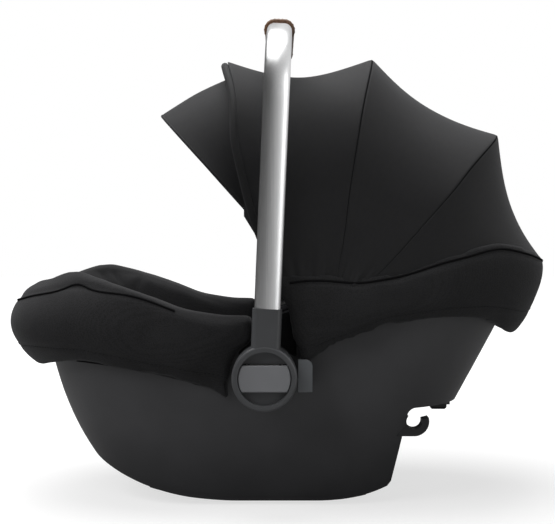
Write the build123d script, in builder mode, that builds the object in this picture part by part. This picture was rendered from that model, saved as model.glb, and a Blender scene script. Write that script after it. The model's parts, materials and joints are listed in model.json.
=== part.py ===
"""Infant car seat: moulded bucket with padded covers, a folding canopy and a pivoting carry handle.

Frame: +X towards the head end, +Y across the seat, +Z up, in millimetres.
The origin lies on the floor under the middle of the seat. Left is the side at -Y.
"""
import math
import os

from build123d import *

# Overall sizes
hub_face = 222.0
wall = 4.0
gap = 0.4

# Handle pivot, shared by the hubs, the axles and the moulded bosses
pivot_x = -14.0
pivot_z = 159.0
hub_radius = 35.5
boss_radius = 32.0
boss_face = 197.0
running = 0.08
collar_root = 187.0
pocket_radius = 26.0
pocket_floor = 183.0

# Canopy pivot, on a bracket outside the bucket wall
canopy_x = 28.0
canopy_z = 220.0
bracket_radius = 15.0
bracket_seat = 171.5
bracket_thick = 3.0
pin_radius = 4.0

# Bucket: level, front end, rear end, half width and corner radius of each plan section
bucket_levels = [
    (-12.0, -166.0, 152.0, 104.0, 82.0),
    (68.0, -232.0, 190.0, 142.0, 112.0),
    (158.0, -268.0, 238.0, 165.0, 132.0),
    (308.0, -292.0, 314.0, 172.0, 144.0),
]
above_all = 420.0
beyond = 420.0

# Underside: a short flat between two rocker curves, then the rear wall and the belt notch
flat_front = -46.0
flat_rear = 46.0
rocker_front = 350.0
rocker_rear = 240.0
tail_x = 131.0
tail_corner = 15.0
rear_wall_top = 153.0
notch_roof = 111.0
runner_front = -150.0
runner_rear = 104.0
boss_root = 140.0

# Rim of the bucket, from the foot end to the head end
rim_line = [
    (-400.0, 240.0),
    (-300.0, 246.0),
    (-243.0, 255.0),
    (-150.0, 241.0),
    (-60.0, 207.0),
    (5.0, 227.0),
    (62.0, 246.0),
    (150.0, 266.0),
    (240.0, 284.0),
    (330.0, 270.0),
    (420.0, 248.0),
]


def tub(levels, out=0.0):
    """Tapered tub lofted through rounded plan sections, each grown by out."""
    with BuildPart() as hull:
        for level, front, rear, half_width, corner in levels:
            with BuildSketch(Plane.XY.offset(level)):
                with Locations(((front + rear) / 2, 0)):
                    RectangleRounded(rear - front + 2 * out, 2 * (half_width + out), corner + out)
        loft()
    return hull.part


def slab(face, half_width=beyond):
    """Side outline drawn on the XZ plane, carried across the seat."""
    with BuildPart() as across:
        with BuildSketch(Plane.XZ):
            add(face)
        extrude(amount=half_width, both=True)
    return across.part


def underside_profile(inset=0.0):
    """Everything above the rocker, the rear wall and the notch roof, taken in by inset."""
    rocker_end_x = -260.0
    front_drop = rocker_front - math.sqrt(rocker_front**2 - (flat_front - rocker_end_x) ** 2)
    rear_drop = rocker_rear - math.sqrt(rocker_rear**2 - (tail_x - flat_rear) ** 2)
    with BuildSketch() as profile:
        with BuildLine():
            front_arc = RadiusArc((rocker_end_x, front_drop), (flat_front, 0), -rocker_front)
            ground = Line(front_arc @ 1, (flat_rear, 0))
            rear_arc = RadiusArc(ground @ 1, (tail_x, rear_drop), -rocker_rear)
            FilletPolyline(
                rear_arc @ 1,
                (tail_x + 6, rear_drop + 8),
                (rear_wall_top, notch_roof),
                (beyond, notch_roof),
                radius=tail_corner / 3,
            )
            Polyline((beyond, notch_roof), (beyond, above_all), (-beyond, above_all))
            Polyline((-beyond, above_all), (-beyond, front_drop), front_arc @ 0)
        make_face()
        if inset:
            offset(amount=-inset, kind=Kind.INTERSECTION, mode=Mode.REPLACE)
    return profile.sketch


def above_rim(lift=0.0):
    """Everything above the rim line, raised by lift."""
    with BuildSketch() as profile:
        with BuildLine():
            rim = Spline([(x, z + lift) for x, z in rim_line])
            Polyline(rim @ 1, (beyond, above_all), (-400.0, above_all), rim @ 0)
        make_face()
    return profile.sketch


def runner_profile():
    """Rocker runner: the band between the underside and the floor line."""
    with BuildSketch() as profile:
        add(underside_profile())
        add(underside_profile(runner_drop), mode=Mode.SUBTRACT)
        with Locations(((runner_front + runner_rear) / 2, 0)):
            Rectangle(runner_rear - runner_front, 4 * tail_corner, mode=Mode.INTERSECT)
    return profile.sketch


def export_pair(left, name):
    """Writes a left-hand piece and its mirror image."""
    left.label = name + "_left"
    export_step(left, "parts/" + left.label + ".step")
    right = mirror(left, about=Plane.XZ)
    right.label = name + "_right"
    export_step(right, "parts/" + right.label + ".step")


os.makedirs("parts", exist_ok=True)

# Moulded bucket shell with canopy seats, docking pockets and lever rails
runner_y = 84.0
runner_width = 16.0
runner_drop = 5.0

# Docking bars across two pockets in the underside
dock_front = -96.0
dock_rear = 84.0
dock_half = 60.0
dock_slot = 11.0
dock_roof = 30.0
dock_bar_radius = 4.0
dock_bar_z = 19.0
dock_bite = 2.5

# Rails in the notch roof that carry the base release lever
lever_front = 180.0
lever_rear = 208.0
lever_half = 43.0
rail_thick = 4.0
rail_lip = 6.0
rail_drop = 9.0
roof_z = notch_roof + runner_drop


def block(x0, x1, y0, y1, z0, z1):
    """Box between two corners."""
    with BuildPart() as solid:
        with Locations(((x0 + x1) / 2, (y0 + y1) / 2, (z0 + z1) / 2)):
            Box(x1 - x0, y1 - y0, z1 - z0)
    return solid.part


def dock_box(x, grow=0.0):
    """Pocket over one docking bar, open towards the floor, grown by grow."""
    side = dock_half + grow
    return block(x - dock_slot - grow, x + dock_slot + grow, -side, side, -wall, dock_roof + grow)


def dock_rod(x, radius, half):
    """Straight rod across the seat at the docking height."""
    with BuildPart() as rod:
        with Locations((x, 0, dock_bar_z)):
            Cylinder(radius, 2 * half, rotation=(90, 0, 0))
    return rod.part


with BuildPart() as shell:
    add(tub(bucket_levels))
    add(slab(underside_profile(runner_drop)), mode=Mode.INTERSECT)
    with BuildSketch(Plane.XZ.offset(bracket_seat)):
        with Locations((canopy_x, canopy_z)):
            Circle(bracket_radius)
    extrude(amount=boss_root - bracket_seat)
    with BuildSketch(Plane.XZ.offset(bracket_seat)):
        with Locations((canopy_x, canopy_z)):
            Circle(bracket_radius)
    extrude(amount=wall, mode=Mode.SUBTRACT)
    split(bisect_by=Plane.XZ, keep=Keep.TOP)
    mirror(about=Plane.XZ)
    add(tub(bucket_levels, -wall) & slab(underside_profile(wall + runner_drop)), mode=Mode.SUBTRACT)
    add(slab(above_rim()), mode=Mode.SUBTRACT)
    for x in (dock_front, dock_rear):
        add(dock_box(x, wall) & slab(underside_profile(runner_drop)))
        add(dock_box(x), mode=Mode.SUBTRACT)
        add(dock_rod(x, dock_bar_radius, dock_half + dock_bite), mode=Mode.SUBTRACT)
    for side in (-1, 1):
        web = side * (lever_half + gap + rail_thick / 2)
        lip = side * (lever_half + gap - rail_lip / 2)
        low = roof_z - rail_drop
        add(block(lever_front, lever_rear, web - rail_thick / 2, web + rail_thick / 2, low, roof_z + 1))
        add(block(lever_front, lever_rear, lip - rail_lip / 2 - 1, lip + rail_lip / 2 + 1, low, low + 3))
shell.part.label = "shell"
export_step(shell.part, "parts/shell.step")

# Rocker runners: two soft strips under the bucket, flat in the middle
with BuildPart(Plane((0, -runner_y, 0))) as rocker_runner:
    add(slab(runner_profile(), runner_width / 2))
export_pair(rocker_runner.part, "rocker_runner")

# Pivot bosses that carry the handle hubs, each with a well for the lock gear
with BuildPart() as pivot_boss:
    with BuildSketch(Plane.XZ.offset(boss_root)):
        with Locations((pivot_x, pivot_z)):
            Circle(boss_radius)
    extrude(amount=boss_face - boss_root)
    with BuildSketch(Plane.XZ.offset(pocket_floor)):
        with Locations((pivot_x, pivot_z)):
            Circle(pocket_radius)
    extrude(amount=boss_face - pocket_floor, mode=Mode.SUBTRACT)
    add(tub(bucket_levels), mode=Mode.SUBTRACT)
export_pair(pivot_boss.part, "pivot_boss")

# Front cover: padded foot roll that wraps the rim from hub to hub
front_roll_levels = [
    (128.0, -258.0, 226.0, 160.0, 130.0),
    (168.0, -295.0, 244.0, 178.0, 142.0),
    (204.0, -320.5, 262.0, 187.0, 150.0),
    (240.0, -308.0, 280.0, 186.0, 150.0),
    (274.0, -276.0, 296.0, 170.0, 136.0),
]
front_hollow_levels = [
    (128.0, -226.0, 200.0, 132.0, 104.0),
    (208.0, -246.0, 240.0, 142.0, 112.0),
    (274.0, -268.0, 280.0, 160.0, 126.0),
]
front_top_line = [
    (-360.0, 270.0),
    (-300.0, 270.0),
    (-243.0, 269.0),
    (-150.0, 257.0),
    (-90.0, 236.0),
    (-48.0, 222.0),
]
front_hem_line = [
    (-48.0, 144.0),
    (-70.0, 145.0),
    (-110.0, 154.0),
    (-170.0, 165.0),
    (-230.0, 169.0),
    (-290.0, 160.0),
    (-360.0, 148.0),
]

with BuildSketch() as front_cover_profile:
    with BuildLine():
        top = Spline(front_top_line)
        Line(top @ 1, front_hem_line[0])
        hem = Spline(front_hem_line)
        Line(hem @ 1, top @ 0)
    make_face()

with BuildPart() as front_cover:
    add(tub(front_roll_levels))
    add(slab(front_cover_profile.sketch), mode=Mode.INTERSECT)
    add(tub(front_hollow_levels), mode=Mode.SUBTRACT)
    bucket_wall = tub(bucket_levels, gap) - tub(bucket_levels, -wall - gap)
    add(bucket_wall - slab(above_rim(gap)), mode=Mode.SUBTRACT)
front_cover.part.label = "front_cover"
export_step(front_cover.part, "parts/front_cover.step")

# Rear cover: padded skirt round the head end
rear_skirt_levels = [
    (168.0, -240.0, 252.0, 189.0, 152.0),
    (208.0, -250.0, 285.0, 191.0, 154.0),
    (253.0, -262.0, 315.0, 192.0, 158.0),
    (283.0, -270.0, 319.5, 192.0, 160.0),
    (318.0, -276.0, 309.0, 187.0, 154.0),
]
bow_slot_rear = 126.0
bow_slot_floor = 196.0
bow_slot_face = 185.6
rear_top_line = [
    (6.0, 262.0),
    (62.0, 261.0),
    (110.0, 272.0),
    (180.0, 293.0),
    (240.0, 302.0),
    (290.0, 296.0),
    (345.0, 278.0),
]
rear_hem_line = [
    (345.0, 198.0),
    (276.0, 202.0),
    (225.0, 211.0),
    (160.0, 214.0),
    (111.0, 211.0),
    (79.0, 203.0),
    (52.0, 190.0),
    (34.0, 181.0),
    (24.0, 181.0),
]

with BuildSketch() as rear_cover_profile:
    with BuildLine():
        top = Spline(rear_top_line)
        Line(top @ 1, rear_hem_line[0])
        hem = Spline(rear_hem_line)
        Line(hem @ 1, top @ 0)
    make_face()

with BuildPart() as rear_cover:
    add(tub(rear_skirt_levels))
    add(slab(rear_cover_profile.sketch), mode=Mode.INTERSECT)
    add(tub(bucket_levels, gap), mode=Mode.SUBTRACT)
    with BuildSketch(Plane.XY.offset(bow_slot_floor)):
        with Locations((bow_slot_rear / 2, 0)):
            Rectangle(bow_slot_rear, 2 * bow_slot_face)
    extrude(amount=above_all - bow_slot_floor, mode=Mode.SUBTRACT)
rear_cover.part.label = "rear_cover"
export_step(rear_cover.part, "parts/rear_cover.step")

# Carry handle: an oval tube bent to an arch, leaning back a little from the pivot
handle_lean = 2.4
leg_y = 211.0
tube_width = 28.6
tube_thick = 17.0
tube_wall = 2.0
tube_foot = 36.0
arch_rise = 399.0
arch_crown = 546.0
arch_bend = 78.0
boot_top = 75.0
boot_width = 32.0
boot_thick = 21.0
grip_half = 104.0
grip_width = 36.0
grip_thick = 26.0
grip_bevel = 2.5
hub_round = 3.0
hub_gap = 0.5
boot_round = 6.0
slat_round = 1.5
tube_fit = 0.15
lean = math.radians(handle_lean)
lean_axis = Vector(math.sin(lean), 0, math.cos(lean))
handle_plane = Plane(
    origin=(pivot_x, 0, pivot_z),
    x_dir=(0, 1, 0),
    z_dir=(math.cos(lean), 0, -math.sin(lean)),
)


def leg_plane(rise):
    """Section plane across the left leg, rise above the pivot along the lean."""
    centre = Vector(pivot_x, -leg_y, pivot_z) + lean_axis * rise
    return Plane(origin=tuple(centre), x_dir=(0, 1, 0), z_dir=tuple(lean_axis))


def oval(across, along, mode=Mode.ADD):
    """Flat-sided oval, across the tube by along the seat."""
    return SlotOverall(along, across, rotation=90, mode=mode)


def crown_at(across):
    """Rise of the arch's crowned top at that distance from the middle."""
    return arch_rise - arch_crown + math.sqrt(arch_crown**2 - across**2)


with BuildPart() as handle_tube:
    with BuildLine(handle_plane) as arch:
        shoulder = crown_at(leg_y)
        Line((-leg_y, tube_foot), (-leg_y, shoulder))
        ThreePointArc((-leg_y, shoulder), (0, arch_rise), (leg_y, shoulder))
        Line((leg_y, shoulder), (leg_y, tube_foot))
        fillet(arch.vertices().sort_by(Axis.Z)[-2:], arch_bend)
    with BuildSketch(leg_plane(tube_foot)):
        oval(tube_thick, tube_width)
        oval(tube_thick - 2 * tube_wall, tube_width - 2 * tube_wall, Mode.SUBTRACT)
    sweep(path=arch.wires()[0])
handle_tube.part.label = "handle_tube"
export_step(handle_tube.part, "parts/handle_tube.step")

with BuildPart() as handle_grip:
    with BuildLine(handle_plane) as crown:
        grip_end = crown_at(grip_half)
        ThreePointArc((-grip_half, grip_end), (0, arch_rise), (grip_half, grip_end))
    start = crown.wires()[0]
    with BuildSketch(Plane(origin=start @ 0, x_dir=(start % 0).cross(handle_plane.z_dir), z_dir=start % 0)):
        oval(grip_thick, grip_width)
        oval(tube_thick + 2 * tube_fit, tube_width + 2 * tube_fit, Mode.SUBTRACT)
    sweep(path=crown.wires()[0])
    ends = handle_grip.faces().filter_by(GeomType.PLANE).sort_by(Axis.Y)
    chamfer([ends[0].outer_wire().edges(), ends[-1].outer_wire().edges()], grip_bevel)
handle_grip.part.label = "handle_grip"
export_step(handle_grip.part, "parts/handle_grip.step")

# Hub: round housing that turns on the moulded boss, with a boot that holds the tube
dish_radius = 29.0
dish_floor = 213.0
spline_top = 210.0
slat_height = 29.0
slat_face = 220.6
slat_back = 215.0
slat_gap = 0.5
gear_radius = 24.0
gear_root = 21.0
gear_teeth = 12
gear_outer = 209.5
gear_inner = 204.0
stem_radius = 8.0


def gear_outline(grow=0.0):
    """Square-toothed spline of the lock gear, grown by grow."""
    with BuildSketch() as outline:
        Circle(gear_root + grow)
        tooth = math.pi * gear_root / gear_teeth
        with PolarLocations((gear_root + gear_radius) / 2 - 1, gear_teeth):
            Rectangle(gear_radius - gear_root + 2 + 2 * grow, tooth + 2 * grow)
    return outline.sketch


def hub_sketch_plane(level):
    """Plane across the left hub at that distance from the middle of the seat."""
    return Plane(origin=(pivot_x, -level, pivot_z), x_dir=(1, 0, 0), z_dir=(0, -1, 0))


with BuildPart() as hub_housing:
    with BuildSketch(hub_sketch_plane(collar_root)):
        Circle(hub_radius)
    extrude(amount=hub_face - collar_root)
    fillet(hub_housing.edges().filter_by(GeomType.CIRCLE).sort_by(Axis.Y)[0], hub_round)
    with BuildSketch(leg_plane(0)):
        RectangleRounded(boot_thick, boot_width, boot_round)
    extrude(amount=boot_top)
    with BuildSketch(hub_sketch_plane(collar_root)):
        Circle(boss_radius + running)
    extrude(amount=boss_face + hub_gap - collar_root, mode=Mode.SUBTRACT)
    with BuildSketch(hub_sketch_plane(boss_face)):
        add(gear_outline(slat_gap))
    extrude(amount=spline_top - boss_face, mode=Mode.SUBTRACT)
    with BuildSketch(hub_sketch_plane(dish_floor)):
        Circle(dish_radius)
    extrude(amount=hub_face - dish_floor, mode=Mode.SUBTRACT)
    with BuildSketch(hub_sketch_plane(spline_top)):
        Circle(dish_radius)
        Rectangle(2 * dish_radius, slat_height + 2 * slat_gap, mode=Mode.INTERSECT)
    extrude(amount=hub_face - spline_top, mode=Mode.SUBTRACT)
    with BuildSketch(leg_plane(tube_foot)):
        oval(tube_thick + 2 * tube_fit, tube_width + 2 * tube_fit)
    extrude(amount=arch_rise, mode=Mode.SUBTRACT)
export_pair(hub_housing.part, "hub_housing")

# Release button: a slat across the hub, on the stem of the lock gear
with BuildPart() as handle_button:
    with BuildSketch(hub_sketch_plane(slat_back)):
        Circle(dish_radius - slat_gap)
        Rectangle(2 * dish_radius, slat_height, mode=Mode.INTERSECT)
    extrude(amount=slat_face - slat_back)
    fillet(handle_button.faces().sort_by(Axis.Y)[0].edges(), slat_round)
    with BuildSketch(hub_sketch_plane(gear_outer)):
        Circle(stem_radius)
    extrude(amount=slat_back - gear_outer)
export_pair(handle_button.part, "handle_button")

with BuildPart() as lock_gear:
    with BuildSketch(hub_sketch_plane(gear_inner)):
        add(gear_outline())
    extrude(amount=gear_outer - gear_inner)
export_pair(lock_gear.part, "lock_gear")

# Canopy: flat stays on one pivot each side, fabric panels between them and a hinged visor
front_angle = 106.5
mid_angle = 74.4
rear_angle = 42.2
tail_angle = 11.5
front_rise = 308.0
mid_rise = 309.0
rear_rise = 311.0
tail_rise = 297.0
stay_width = 8.0
stay_thick = 3.2
stay_gap = 0.4
stay_corner = 122.0
stay_drop = 6.0
eye_radius = 8.0
cloth_half = 188.5
cloth_thick = 2.5
cloth_foot = 40.0
cloth_corner = 130.0
tail_corner_radius = 158.0
sag = 24.0
seam_gap = 0.15
stay_root = bracket_seat + bracket_thick + stay_gap
stay_legs = [stay_root + stay_thick / 2 + order * (stay_thick + stay_gap) for order in range(3)]
front_leg, mid_leg, rear_leg = stay_legs
pin_end = stay_legs[-1] + stay_thick / 2


def fan_plane(angle, origin_x=canopy_x, origin_z=canopy_z):
    """Plane through a pivot across the seat, raised by angle from the head end; its y runs outwards."""
    turn = math.radians(angle)
    return Plane(
        origin=(origin_x, 0, origin_z),
        x_dir=(0, 1, 0),
        z_dir=(math.sin(turn), 0, -math.cos(turn)),
    )


def hoop(plane, leg, rise, corner, width, thick, foot=0.0):
    """Flat stay bent to an arch: both legs at leg from the middle, its top at rise."""
    with BuildPart() as arch:
        with BuildLine(plane) as line:
            FilletPolyline((-leg, foot), (-leg, rise), (leg, rise), (leg, foot), radius=corner)
        start = plane.from_local_coords((-leg, foot, 0))
        with BuildSketch(Plane(origin=start, x_dir=(0, 1, 0), z_dir=plane.y_dir)):
            Rectangle(thick, width)
        sweep(path=line.wires()[0])
    return arch.part


def eyes(x, z, leg, thick, outer):
    """Round eyes at the feet of a stay, both sides."""
    with BuildPart() as ring:
        with BuildSketch(Plane(origin=(x, -leg - thick / 2, z), x_dir=(1, 0, 0), z_dir=(0, -1, 0))):
            Circle(outer)
        extrude(amount=-thick)
        mirror(about=Plane.XZ)
    return ring.part


def pin_holes(x, z, radius):
    """Straight bore right across the seat, to clear a stay's eyes."""
    with BuildPart() as bore:
        with BuildSketch(Plane(origin=(x, -hub_face, z), x_dir=(1, 0, 0), z_dir=(0, 1, 0))):
            Circle(radius)
        extrude(amount=2 * hub_face)
    return bore.part


def stay(angle, leg, rise):
    """One canopy stay with its two pivot eyes."""
    with BuildPart() as bow:
        add(hoop(fan_plane(angle), leg, rise - stay_drop - stay_thick, stay_corner, stay_width, stay_thick))
        add(eyes(canopy_x, canopy_z, leg, stay_thick, eye_radius))
        add(pin_holes(canopy_x, canopy_z, pin_radius + running), mode=Mode.SUBTRACT)
    return bow.part


with BuildPart() as canopy_bracket:
    with BuildSketch(Plane.XZ.offset(bracket_seat)):
        with Locations((canopy_x, canopy_z)):
            Circle(bracket_radius - 1)
    extrude(amount=bracket_thick)
    with BuildSketch(Plane.XZ.offset(bracket_seat)):
        with Locations((canopy_x, canopy_z)):
            Circle(pin_radius)
    extrude(amount=pin_end - bracket_seat)
export_pair(canopy_bracket.part, "canopy_bracket")

rear_bow = stay(rear_angle, rear_leg, rear_rise)
rear_bow.label = "rear_bow"
export_step(rear_bow, "parts/rear_bow.step")

mid_bow = stay(mid_angle, mid_leg, mid_rise)
mid_bow.label = "mid_bow"
export_step(mid_bow, "parts/mid_bow.step")

# Front stay: its gussets carry the visor's own hinge pins
visor_x = -30.0
visor_z = 337.0
visor_angle = 131.8
visor_reach = 156.0
visor_leg = 171.0
visor_thick = 3.0
visor_width = 6.0
visor_corner = 112.0
visor_eye = 6.0
visor_pin = 2.5
gusset_foot = 30.0
gusset_top = 190.0
gusset_nose = 7.0
visor_half = 174.5
visor_cloth = 1.5
turn = math.radians(front_angle)
along = Vector(math.cos(turn), 0, math.sin(turn))
behind = Vector(math.sin(turn), 0, -math.cos(turn)) * (stay_width / 2)
canopy_pivot = Vector(canopy_x, 0, canopy_z)
gusset_corners = [
    canopy_pivot + along * gusset_foot + behind,
    canopy_pivot + along * gusset_foot - behind,
    Vector(visor_x - gusset_nose, 0, visor_z - gusset_nose / 2),
    Vector(visor_x - gusset_nose, 0, visor_z + gusset_nose / 2),
    canopy_pivot + along * gusset_top - behind,
    canopy_pivot + along * gusset_top + behind,
]

with BuildPart() as gusset:
    with BuildSketch(Plane.XZ.offset(front_leg - stay_thick / 2)):
        with BuildLine():
            Polyline([(corner.X, corner.Z) for corner in gusset_corners], close=True)
        make_face()
    extrude(amount=stay_thick)
    with BuildSketch(Plane.XZ.offset(visor_leg - visor_thick / 2)):
        with Locations((visor_x, visor_z)):
            Circle(visor_pin)
    extrude(amount=front_leg - visor_leg + visor_thick / 2)
    mirror(about=Plane.XZ)

with BuildPart() as front_bow:
    add(stay(front_angle, front_leg, front_rise))
    add(gusset.part)
front_bow.part.label = "front_bow"
export_step(front_bow.part, "parts/front_bow.step")

with BuildPart() as visor_hoop:
    visor_rise = visor_reach - visor_cloth - 1.5 * visor_thick
    plane = fan_plane(visor_angle, visor_x, visor_z)
    add(hoop(plane, visor_leg, visor_rise, visor_corner, visor_width, visor_thick))
    add(eyes(visor_x, visor_z, visor_leg, visor_thick, visor_eye))
    add(pin_holes(visor_x, visor_z, visor_pin + running), mode=Mode.SUBTRACT)
visor_hoop.part.label = "visor_hoop"
export_step(visor_hoop.part, "parts/visor_hoop.step")


# Canopy cloth: each panel sags between its two stays and stops at the skirt
def arch_strip(plane, half, rise, corner, foot, thick):
    """Band of cloth standing on a fan plane, half wide and rise high outside."""
    with BuildSketch(plane) as strip:
        with BuildLine():
            outer = FilletPolyline((-half, foot), (-half, rise), (half, rise), (half, foot), radius=corner)
            inner = FilletPolyline(
                (thick - half, foot),
                (thick - half, rise - thick),
                (half - thick, rise - thick),
                (half - thick, foot),
                radius=corner - thick,
            )
            Line(outer @ 0, inner @ 0)
            Line(outer @ 1, inner @ 1)
        make_face()
    return strip.sketch


def below_skirt(lift):
    """Everything under the top edge of the rear cover, raised by lift."""
    with BuildSketch() as profile:
        with BuildLine():
            top = Spline([(x, z + lift) for x, z in rear_top_line])
            Polyline(top @ 1, (beyond, 0), (-beyond, 0), (-beyond, rear_top_line[0][1] + lift), top @ 0)
        make_face()
    return profile.sketch


def canopy_panel(name, sections):
    """Panel lofted through (angle, rise, corner radius) sections, trimmed along the skirt."""
    with BuildPart() as panel:
        for angle, rise, corner in sections:
            add(arch_strip(fan_plane(angle), cloth_half, rise, corner, cloth_foot, cloth_thick))
        loft()
        add(slab(below_skirt(gap)), mode=Mode.SUBTRACT)
    panel.part.label = name
    export_step(panel.part, "parts/" + name + ".step")


canopy_panel(
    "canopy_front_panel",
    [
        (front_angle, front_rise, cloth_corner),
        ((front_angle + mid_angle) / 2, (front_rise + mid_rise) / 2 - sag, cloth_corner),
        (mid_angle + seam_gap, mid_rise, cloth_corner),
    ],
)
canopy_panel(
    "canopy_rear_panel",
    [
        (mid_angle - seam_gap, mid_rise, cloth_corner),
        ((mid_angle + rear_angle) / 2, (mid_rise + rear_rise) / 2 - sag / 2, cloth_corner),
        (rear_angle + seam_gap, rear_rise, cloth_corner),
    ],
)
canopy_panel(
    "canopy_tail_panel",
    [
        (rear_angle - seam_gap, rear_rise, cloth_corner),
        ((rear_angle + tail_angle) / 2, (rear_rise + tail_rise) / 2 - sag / 2, tail_corner_radius - 12),
        (tail_angle, tail_rise, tail_corner_radius),
    ],
)

with BuildPart() as canopy_visor:
    for angle, rise in ((visor_angle + 1, visor_reach), (117.0, visor_reach + 4), (99.0, visor_reach + 5)):
        plane = fan_plane(angle, visor_x, visor_z)
        add(arch_strip(plane, visor_half, rise, visor_corner + visor_thick, visor_eye + 2, visor_cloth))
    loft()
canopy_visor.part.label = "canopy_visor"
export_step(canopy_visor.part, "parts/canopy_visor.step")

# Seat surface, side view, from the foot end to the head end
seat_line = [
    (-300.0, 254.0),
    (-236.0, 186.0),
    (-150.0, 120.0),
    (-60.0, 80.0),
    (0.0, 74.0),
    (60.0, 96.0),
    (130.0, 150.0),
    (200.0, 210.0),
    (300.0, 304.0),
]
foam_thick = 12.0
foam_floor = 22.0
liner_thick = 10.0
insert_thick = 16.0
pillow_thick = 24.0
edge_drop = 6.0
foam_out = wall + gap
liner_out = foam_out + foam_thick + gap
insert_out = liner_out + liner_thick + gap
pillow_out = insert_out + insert_thick + gap


def above_seat(lift):
    """Everything above the seat surface, raised by lift."""
    with BuildSketch() as profile:
        with BuildLine():
            line = Spline([(x, z + lift) for x, z in seat_line])
            Polyline(line @ 1, (line @ 1 + (0, above_all)), (line @ 0 + (0, above_all)), line @ 0)
        make_face()
    return profile.sketch


def hollow(inset, lift):
    """Space inside the bucket, inset from its wall and lift above the seat surface."""
    return tub(bucket_levels, -inset) & slab(above_seat(lift))


def pad_zone(points, corner):
    """Side outline of a pad with rounded corners, carried across the seat."""
    with BuildSketch() as zone:
        with BuildLine():
            FilletPolyline(points, radius=corner, close=True)
        make_face()
    return slab(zone.sketch)


front_zone = slab(front_cover_profile.sketch)
over_rim = slab(above_rim(-edge_drop))

# Energy-absorbing foam between the shell and the lining
with BuildPart() as seat_foam:
    add(tub(bucket_levels, -foam_out) & slab(underside_profile(runner_drop + foam_out)))
    add(over_rim, mode=Mode.SUBTRACT)
    add(slab(above_seat(-liner_thick - gap - foam_floor)), mode=Mode.INTERSECT)
    add(hollow(foam_out + foam_thick, -liner_thick - gap), mode=Mode.SUBTRACT)
    add(front_zone, mode=Mode.SUBTRACT)
    for x in (dock_front, dock_rear):
        add(dock_box(x, wall + gap), mode=Mode.SUBTRACT)
seat_foam.part.label = "seat_foam"
export_step(seat_foam.part, "parts/seat_foam.step")

# Quilted lining of the bucket
with BuildPart() as seat_liner:
    add(hollow(liner_out, -liner_thick))
    add(over_rim, mode=Mode.SUBTRACT)
    add(hollow(liner_out + liner_thick, 0), mode=Mode.SUBTRACT)
    add(front_zone, mode=Mode.SUBTRACT)
seat_liner.part.label = "seat_liner"
export_step(seat_liner.part, "parts/seat_liner.step")

# Infant insert: a bowl-shaped pad in the bight of the seat
insert_zone = [(-92, 48), (-112, 112), (-40, 136), (20, 186), (110, 240), (196, 270), (214, 158), (60, 28)]
with BuildPart() as infant_insert:
    add(hollow(insert_out, gap))
    add(pad_zone(insert_zone, 12), mode=Mode.INTERSECT)
    add(hollow(insert_out + insert_thick, insert_thick + gap), mode=Mode.SUBTRACT)
infant_insert.part.label = "infant_insert"
export_step(infant_insert.part, "parts/infant_insert.step")

# Head support: a horseshoe pillow at the top of the back rest
pillow_zone = [(134, 136), (122, 222), (186, 292), (262, 304), (262, 208), (190, 128)]
with BuildPart() as head_support:
    add(hollow(pillow_out, insert_thick + 2 * gap))
    add(pad_zone(pillow_zone, 14), mode=Mode.INTERSECT)
    add(hollow(pillow_out + pillow_thick, insert_thick + pillow_thick), mode=Mode.SUBTRACT)
head_support.part.label = "head_support"
export_step(head_support.part, "parts/head_support.step")

# Docking bars: turned steel rods held in the side walls of the pockets
for name, x in (("dock_bar_front", dock_front), ("dock_bar_rear", dock_rear)):
    dock_bar = dock_rod(x, dock_bar_radius, dock_half + dock_bite)
    dock_bar.label = name
    export_step(dock_bar, "parts/" + name + ".step")

# Base release lever: a finger paddle that slides under the notch roof
paddle_half = 34.0
paddle_drop = 17.0
paddle_round = 4.0
with BuildPart() as release_lever:
    tray_low = roof_z - rail_drop + 3 + gap
    add(block(lever_front + 2, lever_rear - 2, -lever_half, lever_half, tray_low, roof_z - gap))
    add(block(lever_front + 6, lever_rear - 2, -paddle_half, paddle_half, roof_z - paddle_drop, roof_z - gap))
    lowest = release_lever.faces().sort_by(Axis.Z)[0]
    fillet(lowest.edges(), paddle_round)
    with BuildSketch(Plane.XY.offset(roof_z - paddle_drop)):
        with Locations((lever_front + 6, 0)):
            SlotOverall(2 * paddle_half - 14, 18, rotation=90)
    extrude(amount=paddle_drop - rail_drop, mode=Mode.SUBTRACT)
release_lever.part.label = "release_lever"
export_step(release_lever.part, "parts/release_lever.step")

# Lap-belt guide: an upright tab beside each hub, belt gap behind it
guide_front = 22.6
guide_rear = 38.0
guide_low = 142.0
guide_high = 177.0
guide_face = 198.5
guide_plate = 8.0
guide_foot = 11.0
guide_round = 7.0
with BuildPart() as lap_belt_guide:
    with BuildSketch(Plane.XZ.offset(guide_face - guide_plate)):
        with Locations(((guide_front + guide_rear) / 2, (guide_low + guide_high) / 2)):
            Rectangle(guide_rear - guide_front, guide_high - guide_low)
    extrude(amount=guide_plate)
    rear_edges = lap_belt_guide.edges().filter_by(Axis.Y).sort_by(Axis.X)[-2:]
    fillet(rear_edges, guide_round)
    add(block(guide_front, guide_rear, -guide_face + 1, -boss_root, guide_low, guide_low + guide_foot))
    add(tub(bucket_levels, gap / 4), mode=Mode.SUBTRACT)
export_pair(lap_belt_guide.part, "lap_belt_guide")

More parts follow.
